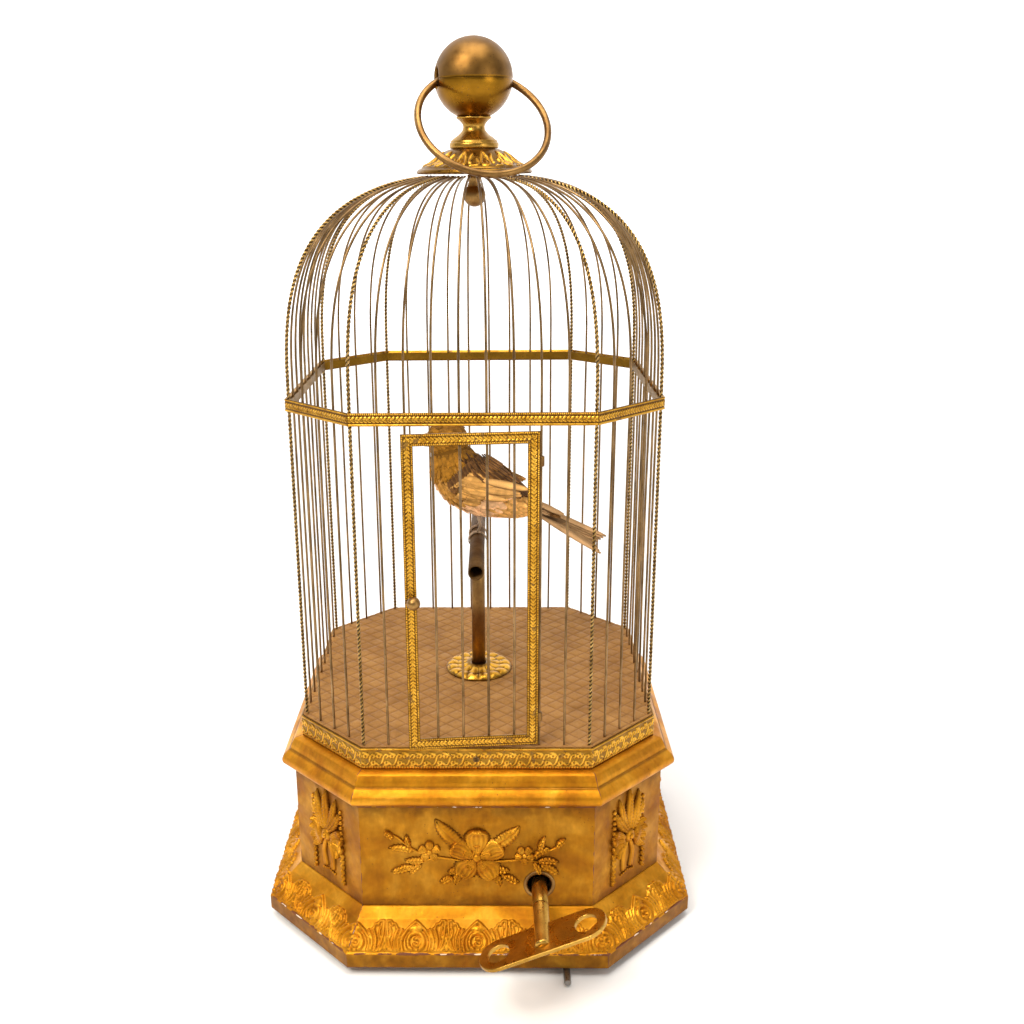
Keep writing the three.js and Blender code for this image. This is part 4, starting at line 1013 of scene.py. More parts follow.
def add_wires(wire, twist_brass, lining):
    rail_low = node_box("mid_rail")[0][2]
    for turn, name in enumerate(FACES):
        group = Parts()
        feet, corner = face_feet(turn)
        for i, foot in enumerate(feet):
            above_door = name == "front" and i in (2, 3, 4, 5)
            path = wire_path(foot, rng.normal(0, 0.28, 2))
            if above_door:
                path = path[path[:, 2] > rail_low + 1]
            outward = np.tile([0.01 * foot[0], 0.01 * foot[1], 0], (len(path), 1))
            group.add(tube(path, WIRE_R, outward, 8))
        piece = group.piece(f"wires_{name}", wire)
        if name == "front":
            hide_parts("lower_wires_door_left", "lower_wires_door_right", "dome_wires_front")
        else:
            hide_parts(f"lower_wires_{name}", f"dome_wires_{name}")
        twist = Parts()
        for shape in twisted_wire(wire_path(corner, np.zeros(2))):
            twist.add(shape, cavity=shape[2])
        piece = twist.piece(f"twisted_wire_{turn}", twist_brass)
    rail_low, rail_high = node_box("mid_rail")[0][2] + 1.2, node_box("mid_rail")[1][2] - 1.2
    inner, outer = RAIL_LINING
    ring = [(inner, rail_high), (inner, rail_low), (outer, rail_low), (outer, rail_high)]
    points, faces, _, _ = moulding(ring, 20)
    strip = mesh_object("mid_rail_lining", points, faces, lining, smooth=False)


BALL_R = 24.2


# ---- crown, ball and ring -------------------------------------------------------------------------
def turned_piece(name, node, outline, material, body="root", sides=64, relief=None, closed=False, depth=0.5):
    points, faces, raised = lathe(outline, sides, relief, closed)
    # Painted shade: where a relief is given, the low ground between its raised parts is darkened.
    cavity = np.clip(0.7 - raised / depth, 0, 0.7) if relief else np.zeros(len(points))
    piece = mesh_object(name, points, faces, material, body, attributes={"cavity": cavity})
    if node:
        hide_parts(node)
    return piece


def add_crown(stamped, brass, ball_brass, aged):
    z = CROWN_Z
    low = np.vstack([[(0.02, z), (30, z)], curve([(33.5, z + 0.2), (35.6, z + 0.5), (36.2, z + 1.6), (35.2, z + 3.0),
                                                (33.4, z + 3.7)], 5)])
    dome = curve([(33.2, z + 4.2), (31.4, z + 5.4), (28.6, z + 6.6), (25.6, z + 8.6), (22.4, z + 11.2),
                  (19.0, z + 13.4), (16.6, z + 14.6)], 9)
    outline = np.vstack([low, dome, [(15.6, z + 14.9), (0.02, z + 14.9)]])
    first = len(low)

    def leaves(angle, row):
        share = np.clip((row - first) / (len(dome) - 1), 0, 1)
        on = (row >= first) & (row < first + len(dome))
        turn = (angle * 12 / (2 * math.pi)) % 1 - 0.5
        y, x = share * 17, turn * 11
        h = np.maximum.reduce([
            ridge(np.abs(x), y, bezier((0.2, 1.5), (3.4, 6.0), (0.4, 13.5)), 0.75, 0.8),
            ridge(x, y, bezier((-5.5, 2.0), (-2.6, 3.4), (-3.6, 8.5)), 0.7, 0.7),
            ridge(x, y, bezier((5.5, 12.0), (3.0, 10.5), (3.9, 5.5)), 0.7, 0.7),
            bump(x, y, (0, 5.6), (1.2, 2.6), 0.7), bump(np.abs(x), y, (4.6, 2.2), (0.9, 0.9), 0.7)])
        return np.where(on, h * np.sin(math.pi * np.clip(share, 0.02, 0.98)) ** 0.3, 0)

    turned_piece("crown_cap_embossed", "crown_cap", outline, stamped, sides=360, relief=leaves)

    foot = node_box("crown_neck")[0][2]
    ball_high = node_box("crown_ball")[1]
    ball_r = ball_high[1]
    middle = ball_high[2] - ball_r
    neck = np.vstack([
        [(0.02, foot), (14.4, foot)], bezier((14.4, foot), (15.2, foot), (15.4, foot + 1.2), 4),
        [(15.4, foot + 3.0), (15.0, foot + 3.5), (14.6, foot + 3.7), (14.6, foot + 4.3)],
        curve([(14.2, foot + 4.9), (12.0, foot + 6.6), (9.2, foot + 8.6), (7.4, foot + 10.6), (6.8, foot + 12.6),
               (7.2, foot + 14.4), (8.8, foot + 16.4), (10.2, foot + 17.4)], 6),
        [(10.9, foot + 17.9), (10.9, foot + 18.8), (9.4, foot + 19.1), (6.0, middle - ball_r + 0.4),
         (0.02, middle - ball_r - 0.2)]])
    turned_piece("crown_neck_turned", "crown_neck", neck, brass)

    wire_r, ring_r, hole = 2.2, 39.7, 6.8
    yaw, rest = math.radians(15), math.radians(48.5)
    along = np.array([math.cos(yaw), math.sin(yaw), 0])
    front = np.array([math.sin(yaw), -math.cos(yaw), 0])
    centre = np.array([0, 0, middle])
    start = math.asin(hole / ball_r)
    shell = arc((0, 0), ball_r, math.degrees(start), 180 - math.degrees(start), 90)[:, ::-1]
    bore_end = math.cos(start) * ball_r
    outline = np.vstack([shell, smooth_line([(hole, -bore_end), (hole, bore_end)], 2)[1:-1]])
    points, faces, _ = lathe(outline[::-1], 180, closed=True)
    points = stand(points, front, (0, 0, 1), along)
    seam = np.exp(-((points[:, 2] + 0.8) / 0.28) ** 2) * (np.linalg.norm(points, axis=1) > ball_r - 0.2)
    points = points * (1 - 0.012 * seam)[:, None] + centre
    piece = mesh_object("crown_ball_turned", points, faces, ball_brass, attributes={"cavity": 0.75 * seam})
    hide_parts("crown_ball")

    down = math.cos(rest) * front - np.array([0, 0, math.sin(rest)])
    turn = np.linspace(0, 2 * math.pi, 145)[:-1]
    out = np.cos(turn)[:, None] * down + np.sin(turn)[:, None] * along
    normal = np.cross(along, down)
    spin = np.linspace(0, 2 * math.pi, 20, endpoint=False)
    radial = np.cos(spin)[None, :, None] * out[:, None] + np.sin(spin)[None, :, None] * normal
    points = centre + (ring_r - 4.1) * down + ring_r * out[:, None] + wire_r * radial
    piece = mesh_object("carrying_ring_wire", points, quads(144, 20, True, True), aged, "ring")
    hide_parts("carrying_ring")

    nut_low, nut_high = node_box("ball_nut")
    r = 7.0
    nut = np.vstack([arc((0, nut_low[2] + r), r, -89, 52, 26), [(4.4, nut_low[2] + r + 6.2), (3.6, nut_low[2] + r + 8),
                     (4.4, nut_high[2] - 2.4), (4.4, nut_high[2]), (0.02, nut_high[2])]])
    turned_piece("ball_nut_turned", "ball_nut", nut, aged, sides=48)


# ---- the door ---------------------------------------------------------------------------------------
WIRE_STEP = WIDE_FACE / 9
HINGE = np.array([2.5 * WIRE_STEP, -CAGE_HALF, 0])
DOOR_AJAR = math.radians(5)
DOOR_STRIP = 7.0
LATCH_Z = 241.0
DOOR_BACK = -CAGE_HALF - 1.2


def ajar(points):
    """Turns points of the closed door about its hinge to where it rests."""
    c, s = math.cos(DOOR_AJAR), math.sin(DOOR_AJAR)
    p = np.asarray(points, float).reshape(-1, 3) - HINGE
    return np.column_stack([p[:, 0] * c - p[:, 1] * s, p[:, 0] * s + p[:, 1] * c, p[:, 2]]) + HINGE


def add_door(stamped, wire, aged):
    low, high = node_box("door")
    left, right = HINGE[0] - 5 * WIRE_STEP - 2.4, HINGE[0] - 0.9
    bottom, top = low[2], high[2]
    centre = np.array([(left + right) / 2, (bottom + top) / 2])
    half = np.array([(right - left) / 2, (top - bottom) / 2])
    section = np.vstack([[(-DOOR_STRIP, 0), (0, 0)], smooth_line([(0, 1.0), (-DOOR_STRIP, 1.0)], 0.24)])
    sign = np.array([[-1, -1], [1, -1], [1, 1], [-1, 1]])
    rings = np.array([[[*(centre + sign[k] * (half + out)), 0] for k in range(4)] for out, _ in section])
    rings = np.stack([rings[..., 0], DOOR_BACK - section[:, 1][:, None] + 0 * rings[..., 0], rings[..., 1]], -1)
    outward = np.broadcast_to(np.array([0, -1, 0]), rings.shape)

    def relief(side, x, s):
        y = s - DOOR_STRIP - 1.0
        return np.where((y > 0) & (y < DOOR_STRIP), chain_relief(x, y, DOOR_STRIP, True), 0)

    points, faces, height, _ = ring_sweep(section, rings, outward, 0.24, relief=relief, fade=0.3)
    # Painted shade: the hollows of the stamped front are darkened, and the strip's edges and back evenly a little.
    front = points[:, 1] < DOOR_BACK - 0.9
    cavity = np.where(front, np.clip(0.9 - height / 0.26, 0, 0.9), 0.3)
    piece = mesh_object("door_strip_stamped", ajar(points), faces, stamped, "door", attributes={"cavity": cavity})
    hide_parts("door")
    rods = Parts()
    for n in (-1.5, -0.5, 0.5, 1.5):
        wobble = rng.normal(0, 0.25)
        z = np.linspace(bottom + 2, top - 2, 30)
        bow = np.sin(math.pi * np.linspace(0, 1, 30)) * wobble
        path = np.column_stack([n * WIRE_STEP + bow, np.full(30, DOOR_BACK + 0.5), z])
        rods.add(tube(ajar(path), WIRE_R, (1, 0, 0), 10))
    piece = rods.piece("door_wires", wire, "door")
    knuckles = Parts()
    for z in (bottom + 18, top - 18):
        points, faces, _ = lathe([(1.05, z - 3), (1.6, z - 3), (1.85, z - 2.7), (1.85, z + 2.7), (1.6, z + 3),
                                  (1.05, z + 3)], 24, closed=True)
        knuckles.add((points + HINGE, faces))
        tab = np.array([(-1.6, 0.3), (-1.6, -1.4), (-5.5, -2.1), (-5.5, -1.0), (-2.2, 0.3)])
        sides = [[(HINGE[0] + x, HINGE[1] + y, z + dz) for x, y in tab] for dz in (-3, 3)]
        knuckles.add((ajar(np.array(sides)), [list(range(5)), list(range(5, 10))[::-1]]
                      + [[i, i + 5, (i + 1) % 5 + 5, (i + 1) % 5] for i in range(5)]))
    piece = knuckles.piece("door_knuckles", aged, "door", smooth=False)
    outline = np.vstack([[(0.02, -4.5), (0.75, -4.5), (0.75, 0.2), (2.2, 0.35), (2.3, 1.2), (1.5, 1.9)],
                         arc((0, 5.4), 4.0, -62, 89, 24)])
    points, faces, _ = lathe(outline, 40)
    way = ajar(HINGE + [0, -1, 0])[0] - HINGE
    across = ajar(HINGE + [1, 0, 0])[0] - HINGE
    seat = ajar([left + DOOR_STRIP / 2 + 1.5, DOOR_BACK - 1.0, LATCH_Z])[0]
    shapes = Parts()
    shapes.add((stand(points, across, (0, 0, 1), way, seat), faces))
    tongue = np.array([[x, y, z] for z in (-1.6, 6.4) for x, y in ((-1.2, 0), (1.2, 0), (1.2, 1.0), (-1.2, 1.0))])
    shapes.add((stand(tongue - [0, 4.9, 0], across, way, (0, 0, 1), seat),
                [[0, 3, 2, 1], [4, 5, 6, 7], [0, 1, 5, 4], [1, 2, 6, 5], [2, 3, 7, 6], [3, 0, 4, 7]]))
    piece = shapes.piece("latch_knob_turned", aged, "latch")
    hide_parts("door_latch_knob")


# ---- floor, rosette and perch -------------------------------------------------------------------------
FLOOR_GRID = 9.2  # spacing of the crossing lines pressed into the floor


def add_floor_sheet(leather):
    high = node_box("cage_floor")[1]
    half = node_box("base_band")[1][0] - BAND_THICK - 0.35  # up to the band's inner face
    diagonal = np.linalg.norm((octagon(half)[1] + octagon(half)[2]) / 2)
    count = int(1.5 * half / FLOOR_GRID)
    within = np.array([0, 0.28, 0.6, 2.6, FLOOR_GRID / 2, FLOOR_GRID - 2.6, FLOOR_GRID - 0.6, FLOOR_GRID - 0.28])
    line = (np.arange(-count, count + 1)[:, None] * FLOOR_GRID + within).ravel()
    p, q = np.meshgrid(line, line, indexing="ij")
    sway = 0.35 * np.sin(p / 21 + 0.6) + 0.3 * np.sin(q / 17)
    x, y = (p - q) / math.sqrt(2) + sway, (p + q) / math.sqrt(2) + sway

    def groove(a):
        gap = np.abs((a + FLOOR_GRID / 2) % FLOOR_GRID - FLOOR_GRID / 2)
        return np.exp(-((gap / 0.42) ** 2))

    pressed = np.maximum(groove(p), groove(q))
    reach = np.maximum.reduce([np.abs(x) / half, np.abs(y) / half,
                               np.abs(x + y) / math.sqrt(2) / diagonal, np.abs(x - y) / math.sqrt(2) / diagonal])
    faces = quads(*p.shape)
    outside = (reach > 1).ravel()
    faces = faces[~outside[faces].all(axis=1)]
    shrink = np.maximum(reach, 1)
    x, y = x / shrink, y / shrink
    top = np.stack([x, y, high[2] - 0.05 - 0.5 * pressed], -1).reshape(-1, 3)
    used, faces = np.unique(faces, return_inverse=True)
    faces = faces.reshape(-1, 4)
    top, pressed = top[used], pressed.ravel()[used]
    directed = np.stack([faces, np.roll(faces, -1, 1)], -1).reshape(-1, 2)
    edges = np.sort(directed, axis=1)
    _, index, times = np.unique(edges, axis=0, return_index=True, return_counts=True)
    border = directed[index[times == 1]]
    n = len(top)
    bottom = top * [1, 1, 0] + [0, 0, high[2] - 1.2]
    walls = np.column_stack([border[:, 1], border[:, 0], border[:, 0] + n, border[:, 1] + n])
    # Painted shade: the pressed lines of the top are darkened through the cavity attribute.
    piece = mesh_object("floor_sheet", np.vstack([top, bottom]), [*faces.tolist(), *(faces[:, ::-1] + n).tolist(),
                        *walls.tolist()], leather, attributes={"cavity": np.concatenate([0.7 * pressed, 0 * pressed])})
    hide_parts("cage_floor")


def add_perch(aged, dull, stamped):
    low, high = node_box("perch_rosette")
    z, r = low[2], high[0]
    rise = curve([(22.6, z + 1.0), (19.5, z + 2.2), (15.0, z + 2.0), (11.0, z + 2.2), (8.2, z + 3.8)], 8)
    outline = np.vstack([[(5.0, z), (23.2, z), (23.3, z + 0.6)], rise, [(7.4, z + 4.5), (5.0, z + 4.6)]])

    def petals(angle, row):
        share = np.clip((row - 3) / (len(rise) - 1), 0, 1)
        on = (row >= 3) & (row < 3 + len(rise))
        outer = np.abs(np.sin(angle * 8)) ** 0.6 * np.sin(math.pi * np.clip(share * 1.9, 0.01, 0.99)) ** 0.5
        inner = np.abs(np.sin(angle * 6)) ** 0.6 * np.sin(math.pi * np.clip(share * 1.9 - 0.9, 0.01, 0.99)) ** 0.5
        return np.where(on, 1.1 * np.maximum(outer * (share < 0.52), inner * (share > 0.48)), 0)

    turned_piece("rosette_stamped", "perch_rosette", outline, stamped, sides=192, relief=petals,
                 closed=True, depth=0.9)
    low, high = node_box("perch_post")
    r = high[0]
    post = [(3.6, low[2]), (r, low[2]), (r, high[2] - 6), (r - 0.2, high[2] - 5.8), (r - 0.2, high[2] - 5.4),
            (r, high[2] - 5.2), (r, high[2]), (3.6, high[2])]
    turned_piece("perch_post_tube", "perch_post", post, aged, sides=48, closed=True)
    low, high = node_box("perch_tube")
    r, half = high[0], high[1]
    outline = [(4.3, -half), (r - 0.15, -half), (r, -half + 0.2), (r, half - 0.2), (r - 0.15, half), (4.3, half)]
    points, faces, _ = lathe(outline, 48, closed=True)
    points = stand(points, (1, 0, 0), (0, 0, -1), (0, 1, 0), (0, 0, (low[2] + high[2]) / 2))
    piece = mesh_object("perch_tube_open", points, faces, dull)
    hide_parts("perch_tube")


# ---- the bird -------------------------------------------------------------------------------------
OLIVE_GOLD = np.array([0.34, 0.145, 0.012])
DARK_BROWN = np.array([0.045, 0.020, 0.007])
MID_BROWN = np.array([0.20, 0.088, 0.022])
CREAM_ORANGE = np.array([0.85, 0.44, 0.12])
PINK_WHITE = np.array([0.95, 0.55, 0.27])
BUFF = np.array([0.50, 0.29, 0.13])
NECK_X, NECK_Z = -19.0, 301.5


def vane(root, way, normal, length, width, tint, rim=None, droop=0.5, thick=0.25, rows=6, across=5):
    """One feather: a thin closed vane from its root, bending down towards the surface at its tip."""
    way = np.asarray(way, float) / np.linalg.norm(way)
    normal = normal - np.dot(normal, way) * way
    normal = normal / np.linalg.norm(normal)
    side = np.cross(normal, way)
    t = np.linspace(0, 1, rows)[:, None]
    v = np.linspace(-1, 1, across)[None]
    round_tip = np.sqrt(np.clip(1 - np.clip((t - 0.55) / 0.47, 0, 1) ** 2, 0, 1))
    profile = width * np.clip(0.45 + 1.3 * t, 0, 1) * round_tip + 0.05
    sink = -droop * t**2 - 0.22 * width * v**2
    top = (root + t[..., None] * length * way + (v * profile)[..., None] * side
           + (sink + 0 * v)[..., None] * normal)
    under = top[:, ::-1] - thick * normal
    ring = np.concatenate([top, under], axis=1)
    count = 2 * across
    faces = [list(f) for f in quads(rows, count, wrap_columns=True)]
    last = (rows - 1) * count
    faces += [list(range(count)), list(range(last, last + count))[::-1]]
    rim = tint if rim is None else rim
    edge = np.abs(np.concatenate([v[0], v[0][::-1]])) ** 2
    shade = (0.82 + 0.36 * t) * np.ones(count)
    streak = rng.uniform(0.72, 1.2, (rows, 1))
    edge = edge[None, :, None]
    colour = (tint[None, None] * (1 - edge) + rim[None, None] * edge) * (shade * streak)[..., None]
    return ring.reshape(-1, 3), faces, colour.reshape(-1, 3)


def feather_in(parts, *args, **options):
    points, faces, colour = vane(*args, **options)
    parts.add((points, faces), tint=colour)


BODY_LINE = curve([(-19, 304), (-17.5, 298), (-14.5, 290), (-8, 281.5), (2, 275.5), (13, 270.5), (24, 265.5),
                   (33, 261.5), (39.5, 258.5)], 6)
BODY_RADIUS = curve([(r, 0) for r in (11.3, 14.3, 17.3, 18.9, 18.6, 16.2, 12, 7.2, 2.6)], 6)[:, 0]


def body_surface(share, angle, raise_by=0.0):
    """A point of the plump body, its outward normal and the way back towards the tail; angle 0 is the back."""
    at = share * (len(BODY_LINE) - 1)
    step = np.gradient(BODY_LINE, axis=0)
    index = np.arange(len(BODY_LINE))
    line = np.array([np.interp(at, index, BODY_LINE[:, k]) for k in range(2)])
    along = np.array([np.interp(at, index, step[:, k]) for k in range(2)])
    along /= np.linalg.norm(along)
    r = np.interp(at, index, BODY_RADIUS) + raise_by
    pace = np.linalg.norm([np.interp(at, index, step[:, k]) for k in (0, 1)])
    slope = np.interp(at, index, np.gradient(BODY_RADIUS)) / pace
    up = np.array([-along[1], 0, along[0]])
    normal = math.cos(angle) * up + math.sin(angle) * np.array([0, 0.96, 0])
    point = np.array([line[0], 0, line[1]]) + r * normal
    back = np.array([along[0], 0, along[1]]) + slope * normal
    return point, normal / np.linalg.norm(normal), back / np.linalg.norm(back)


def body_tint(share, angle):
    around = abs(angle) / math.pi
    if share < (0.13 if around < 0.34 else 0.22):
        return OLIVE_GOLD * (0.6 if around < 0.3 else 1.0), None
    if around < (0.40 if share < 0.62 else 0.22):
        return DARK_BROWN, MID_BROWN
    if share < 0.40 and around < 0.86:
        return OLIVE_GOLD * 0.7 + CREAM_ORANGE * 0.3, None
    if share < 0.66:
        return PINK_WHITE, None
    return CREAM_ORANGE, None


def add_bird_body(feather, horn):
    rows = 26
    body = Parts()
    shell = []
    for i in range(len(BODY_LINE)):
        share = i / (len(BODY_LINE) - 1)
        around = np.linspace(0, 2 * math.pi, 28, endpoint=False)
        shell.append([body_surface(share, angle, -0.6)[0] for angle in around])
    shell = np.array(shell)
    count = shell.shape[1]
    faces = [list(f) for f in quads(len(shell), count, wrap_columns=True)]
    faces += [list(range(count)), list(range((len(shell) - 1) * count, len(shell) * count))[::-1]]
    body.add((shell, faces), tint=OLIVE_GOLD * 0.5)
    for row in range(rows, 0, -1):
        share = 0.015 + 0.93 * (row / rows) ** 1.05
        radius = np.interp(share * (len(BODY_LINE) - 1), np.arange(len(BODY_LINE)), BODY_RADIUS)
        number = max(8, int(2 * math.pi * radius / 2.7))
        for k in range(number):
            angle = 2 * math.pi * (k + 0.5 * (row % 2) + rng.uniform(-0.2, 0.2)) / number
            angle = (angle + math.pi) % (2 * math.pi) - math.pi
            point, normal, back = body_surface(share, angle, rng.uniform(0.15, 0.6))
            tint, rim = body_tint(share + rng.uniform(-0.03, 0.03), angle + rng.uniform(-0.12, 0.12))
            tint = tint * rng.uniform(0.8, 1.2)
            way = back + rng.normal(0, 0.09, 3)
            size = 5.2 + 3.2 * min(1, share * 2)
            feather_in(body, point, way, normal, size * rng.uniform(0.85, 1.15), 1.9 * rng.uniform(0.85, 1.1),
                       tint, rim, droop=0.3)
    add_wings(body)
    piece = body.piece("bird_plumage", feather)
    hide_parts("bird_body")
    legs = Parts()
    tube_r = node_box("perch_tube")[1][0]
    perch_z = node_box("perch_tube")[1][2] - tube_r
    for side in (-1, 1):
        y = 7.0 * side
        legs.add(tube(curve([(3.0, y * 0.9, 263), (0.6, y, 256), (2.2, y, 251), (0.4, y, 246.6)], 6), 0.85, (0, 1, 0), 10))
        for spread, sweep, start in ((0, 105, 92), (1.9, 92, 94), (-1.9, 92, 94), (0.4, -78, 88)):
            turn = np.radians(np.linspace(start, start + sweep, 14))
            toe = np.column_stack([(tube_r + 0.9) * np.cos(turn), y + spread * np.linspace(0.1, 1, 14),
                                   perch_z + (tube_r + 0.9) * np.sin(turn)])
            width = np.linspace(0.8, 0.42, 14) + 0.09 * np.sin(np.linspace(0, 6 * math.pi, 14))
            legs.add(tube(toe, width, (0, 1, 0), 8))
            claw = toe[-1] + (toe[-1] - toe[-2]) * np.linspace(0, 1.4, 5)[:, None] * [0.6, 1, 1]
            legs.add(tube(claw, np.linspace(0.42, 0.1, 5), (0, 1, 0), 6))
    piece = legs.piece("bird_legs", horn)


FLIGHT_SLOPE = math.radians(13)  # the folded flight feathers run back this far below level


def add_wings(body):
    """The folded wings: long cream flight feathers under rows of streaked dark coverts."""
    for side in (-1, 1):
        def lay(share, angle, out, length, width, tint, rim, tilt, rows=6, droop=0.4, way=None):
            point, normal, back = body_surface(share, side * angle, out)
            up = np.cross(normal, back) * side
            way = back + tilt * up if way is None else way + rng.normal(0, 0.025, 3)
            feather_in(body, point, way, normal, length, width, tint, rim, droop=droop, rows=rows)

        level = np.array([math.cos(FLIGHT_SLOPE), 0, -math.sin(FLIGHT_SLOPE)])
        for i in range(16):
            tint = CREAM_ORANGE * rng.uniform(0.75, 1.2) + PINK_WHITE * rng.uniform(0, 0.2)
            lay(0.40, 2.12 - 0.062 * i, 0.9 + 0.11 * i, 23 + 0.9 * i, 2.7, tint, tint * 0.3, 0, 14, 3.2, level)
        for row in range(3):
            for i in range(11):
                tint = (CREAM_ORANGE * 0.8 + OLIVE_GOLD * rng.uniform(0, 0.45)) * rng.uniform(0.7, 1.2)
                lay(0.43 - 0.055 * row, 2.06 - 0.085 * i + rng.uniform(-0.03, 0.03), 2.3 + 0.25 * row,
                    rng.uniform(9, 13), 2.5, tint, tint * 0.35, 0, 7, 0.8, level)
        for i in range(10):
            tint = CREAM_ORANGE * 0.9 + OLIVE_GOLD * rng.uniform(0, 0.4)
            lay(0.60 + 0.02 * i, 2.05 + 0.06 * i, 0.6, rng.uniform(8, 12), 2.2, tint, tint * 0.4, 0.2, 7, 0.6)
        for row, (start, length, out) in enumerate(((0.54, 12, 3.2), (0.46, 11, 3.4), (0.38, 10, 3.6), (0.30, 9, 3.7))):
            for k in range(8):
                angle = 1.02 - 0.135 * k + rng.uniform(-0.04, 0.04) + 0.04 * (3 - row)
                tint = DARK_BROWN * rng.uniform(0.7, 2.4)
                lay(start + rng.uniform(-0.01, 0.01) + 0.012 * k, angle, out, length, 1.6, tint,
                    MID_BROWN * rng.uniform(0.9, 2.2), 0.06)
        for k in range(8):
            lay(0.62 + 0.012 * k, 0.98 - 0.12 * k, 2.6, 16, 2.2, DARK_BROWN * rng.uniform(0.9, 1.6), MID_BROWN * 1.2,
                0.03)
        for row in range(2):
            for k in range(10):
                tint = DARK_BROWN * 1.5 + MID_BROWN * rng.uniform(0, 0.6)
                lay(0.205 + 0.028 * row + 0.008 * k, 0.80 + 0.125 * k, 2.4 - 0.3 * row, 7.0, 1.7, tint, MID_BROWN, 0.1)


def add_bird_head(feather, horn, eye):
    low, high = node_box("bird_head")
    centre = np.array([NECK_X - 1, 0, NECK_Z + 8])
    radii = np.array([14.0, 12.2, 13.2])
    head = Parts()
    ball = arc((0, 0), 1, -89, 89, 16)
    points, faces, _ = lathe(ball, 28)
    head.add((points * (radii - 0.8) + centre, faces), tint=OLIVE_GOLD * 0.6)
    rows = 15
    for row in range(rows, 0, -1):
        polar = math.pi * (0.06 + 0.80 * row / rows)
        number = max(6, int(2 * math.pi * 13 * math.sin(polar) / 2.2))
        for k in range(number):
            angle = 2 * math.pi * (k + 0.5 * (row % 2) + rng.uniform(-0.2, 0.2)) / number
            unit = np.array([-math.cos(polar), math.sin(polar) * math.sin(angle), math.sin(polar) * math.cos(angle)])
            normal = unit / radii
            normal /= np.linalg.norm(normal)
            back = np.array([1.0, 0, 0]) - normal[0] * normal
            crown = unit[2] > 0.55
            tint = (OLIVE_GOLD * 0.55 + MID_BROWN * 0.3 if crown else OLIVE_GOLD) * rng.uniform(0.8, 1.2)
            feather_in(head, centre + unit * (radii + rng.uniform(-0.5, 0.0)), back + rng.normal(0, 0.08, 3), normal,
                       rng.uniform(4.2, 5.2), 1.5, tint, tint * 0.8, droop=0.6, rows=5)
    piece = head.piece("bird_head_plumage", feather, "head")
    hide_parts("bird_head")
    face = Parts()
    face.add(tube([(-30.5, 0, 310.2), (-34, 0, 310.2), (-37.5, 0, 309.4), (-40, 0, 308.3), (-41.4, 0, 307.3)],
                  [4.2, 3.4, 2.2, 1.1, 0.25], (0, 1, 0), 16))
    piece = face.piece("bird_upper_beak", horn, "head")
    eyes = Parts()
    for side in (-1, 1):
        points, faces, _ = lathe(arc((0, 0), 1.7, -89, 89, 12), 20)
        eyes.add((points + [centre[0] - 8.2, side * 9.7, centre[2] + 2.4], faces))
    piece = eyes.piece("bird_eyes", eye, "head")
    lower = Parts()
    low, high = node_box("bird_lower_beak")
    z = (low[2] + high[2]) / 2
    lower.add(tube([(-32.0, 0, z), (-35, 0, z - 0.1), (-38, 0, z + 0.1), (-40.2, 0, z + 0.6)], [1.8, 1.5, 0.9, 0.25],
                   (0, 1, 0), 14))
    piece = lower.piece("bird_lower_mandible", horn, "beak")
    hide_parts("bird_lower_beak")


TAIL_ROLL = math.radians(38)  # the near edge of the tail hangs lower than the far one


def add_bird_tail(feather):
    tail = Parts()
    root, tip = np.array([33, 0, 262.5]), np.array([86, 0, 232.6])
    along = (tip - root) / np.linalg.norm(tip - root)
    length = np.linalg.norm(tip - root)
    upright = np.array([-along[2], 0, along[0]])
    roll = math.cos(TAIL_ROLL) * np.array([0, 1, 0]) + math.sin(TAIL_ROLL) * upright
    normal = -np.cross(along, roll)
    for i, spread in enumerate((-1, 1, -0.78, 0.78, -0.55, 0.55, -0.34, 0.34, -0.14, 0.14)):
        start = root + spread * 2.4 * roll + (0.3 * i - 1.4) * normal
        way = along * length + spread * 5.4 * roll
        tint = BUFF * rng.uniform(0.85, 1.15)
        feather_in(tail, start, way, normal, length * (1.0 - 0.1 * (1 - abs(spread))), 2.1, tint, tint * 0.55,
                   droop=0.6, rows=14)
    for k in range(16):
        start = root + [rng.uniform(-2, 8), rng.uniform(-3.4, 3.4), rng.uniform(-1, 2.4)]
        tint = (BUFF if k % 3 else MID_BROWN) * rng.uniform(0.8, 1.1)
        feather_in(tail, start, along + rng.normal(0, 0.04, 3), normal, rng.uniform(13, 20), 2.2, tint, tint * 0.6,
                   droop=0.5)
    piece = tail.piece("bird_tail_feathers", feather, "tail")
    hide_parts("bird_tail")


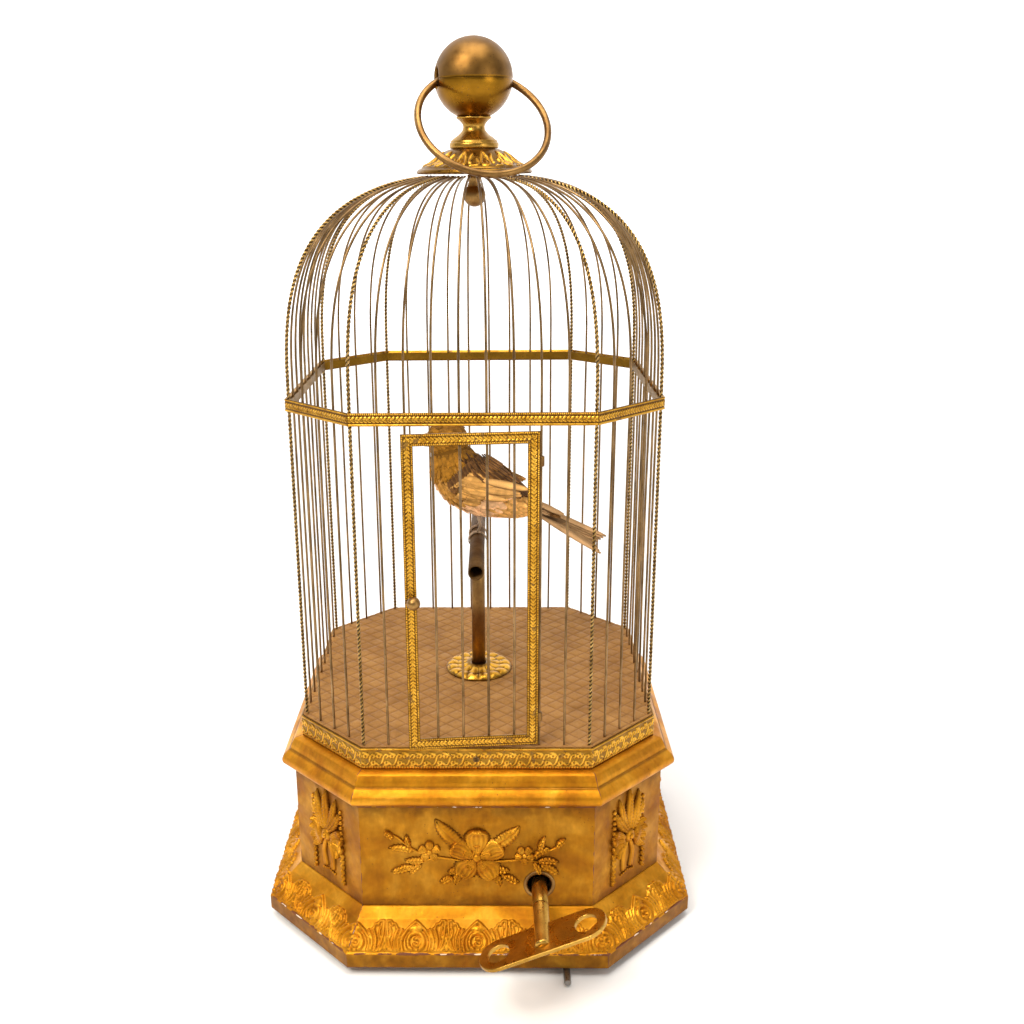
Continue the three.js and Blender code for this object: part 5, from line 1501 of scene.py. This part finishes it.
# ---- the key --------------------------------------------------------------------------------------
def add_key(brass, aged):
    x, z = key_axis()
    low, high = node_box("key_shaft")
    r, tip, end = (high[0] - low[0]) / 2, low[1], high[1]
    lining_low, lining_high = node_box("key_hole_lining")
    face = -lining_low[1]
    outline = [(7.5, -lining_high[1]), (9.0, -lining_high[1]), (9.0, FRIEZE_HALF + 0.25), (10.1, FRIEZE_HALF + 0.25),
               (10.1, face - 0.3), (9.6, face), (8.2, face), (7.5, face - 0.7)]
    points, faces, _ = lathe(outline, 64, closed=True)
    points = stand(points, (1, 0, 0), (0, 0, 1), (0, -1, 0), (x, 0, z))
    piece = mesh_object("key_hole_ring", points, faces, aged)
    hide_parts("key_hole_lining")

    seam = FRIEZE_HALF + 23
    outline = np.vstack([[(3.3, -end), (r - 0.3, -end), (r, -end + 0.4), (r, seam - 1.2), (r - 0.35, seam - 0.9),
                          (r - 0.35, seam - 0.4), (r + 0.15, seam - 0.2), (r + 0.15, seam + 0.9), (r, seam + 1.1),
                          (r, -tip - 1.6)], bezier((r, -tip - 1.6), (r, -tip - 0.2), (r - 1.8, -tip), 5)[1:],
                         [(0.02, -tip), (0.02, -tip - 20), (3.3, -end + 14)]])
    points, faces, _ = lathe(outline, 48, closed=True)
    points = stand(points, (1, 0, 0), (0, 0, 1), (0, -1, 0), (x, 0, z))
    piece = mesh_object("key_shaft_turned", points, faces, brass, "key")
    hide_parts("key_shaft")

    handle_low, handle_high = node_box("key_handle")
    long, wide, thick = 81.0, 25.5, 2.5
    tilt = math.radians(22.9)
    curve_data = bpy.data.curves.new("handle_outline", "CURVE")
    curve_data.dimensions = "2D"
    curve_data.fill_mode = "BOTH"
    curve_data.bevel_depth = 0.5 * MM
    curve_data.bevel_resolution = 2
    curve_data.extrude = (thick / 2 - 0.5) * MM
    reach, round_r = (long - wide) / 2, wide / 2 - 0.5
    body = np.vstack([arc((reach, 0), round_r, -90, 90, 32), arc((-reach, 0), round_r, 90, 270, 32)])
    for loop in (body, arc((27.85, 0), 7.5, 0, 350, 36), arc((-27.85, 0), 7.5, 0, 350, 36)):
        spline = curve_data.splines.new("POLY")
        spline.points.add(len(loop) - 1)
        for point, (u, v) in zip(spline.points, loop):
            point.co = (u * MM, v * MM, 0, 1)
        spline.use_cyclic_u = True
    flat = bpy.data.objects.new("handle_outline", curve_data)
    bpy.context.scene.collection.objects.link(flat)
    mesh = bpy.data.meshes.new_from_object(flat.evaluated_get(bpy.context.evaluated_depsgraph_get()))
    points = np.array([tuple(vertex.co) for vertex in mesh.vertices]) / MM
    faces = [list(face.vertices) for face in mesh.polygons]
    bpy.data.objects.remove(flat)
    middle = (handle_low[1] + handle_high[1]) / 2
    points = stand(points, (math.cos(tilt), 0, math.sin(tilt)), (0, 1, 0), (-math.sin(tilt), 0, math.cos(tilt)),
                   (x, middle, z))
    piece = mesh_object("key_handle_plate", points, faces, brass, "key", smooth=False)
    weld = piece.modifiers.new("weld", "WELD")
    weld.merge_threshold = 0.00001
    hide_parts("key_handle")


def paint_nodes(material, *names):
    """Gives CAD nodes that stay in view their procedural finish."""
    for name in names:
        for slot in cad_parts[name].material_slots:
            slot.material = material


gilt = gilt_material()
stamped = stamped_brass_material()
brass = metal_material("brass", (0.36, 0.19, 0.03), (0.58, 0.33, 0.065), (0.22, 0.4))
aged = metal_material("aged_brass", (0.17, 0.085, 0.028), (0.34, 0.19, 0.06), (0.3, 0.5))
wire = metal_material("wire_metal", (0.115, 0.065, 0.025), (0.33, 0.20, 0.085), (0.28, 0.45))
dull = metal_material("dull_brass", (0.09, 0.045, 0.016), (0.17, 0.09, 0.03), (0.6, 0.75))
lining = metal_material("rail_lining", (0.17, 0.085, 0.008), (0.27, 0.14, 0.015), (0.4, 0.55))
twist_brass = metal_material("twisted_brass", (0.26, 0.14, 0.035), (0.78, 0.50, 0.17), (0.25, 0.42), 160)
steel = metal_material("steel", (0.20, 0.19, 0.18), (0.42, 0.40, 0.37), (0.3, 0.5))
ball_brass = ball_material(node_box("crown_ball")[0][2] + BALL_R + LIFT[2])
floor_leather = leather_material()
feather = feather_material()
raw_wood = raw_wood_material()
horn = horn_material()
eye = eye_material()

add_plinth(gilt)
add_frieze(gilt)
add_cornice(gilt)
add_sprays(gilt)
add_bands(stamped, aged)
add_wires(wire, twist_brass, lining)
add_crown(stamped, brass, ball_brass, aged)
add_door(stamped, wire, aged)
add_floor_sheet(floor_leather)
add_perch(aged, dull, stamped)
add_bird_body(feather, horn)
add_bird_head(feather, horn, eye)
add_bird_tail(feather)
add_key(brass, aged)
paint_nodes(raw_wood, "bottom_board", "foot_frame")
paint_nodes(brass, "movement_frame", "spring_barrel", "winding_arbor", "cam_arbor", "fly", "whistle")
paint_nodes(steel, "stop_lever")
paint_nodes(floor_leather, "bellows")
stage = stage_material()
add_camera()
add_light()
add_floor(stage)
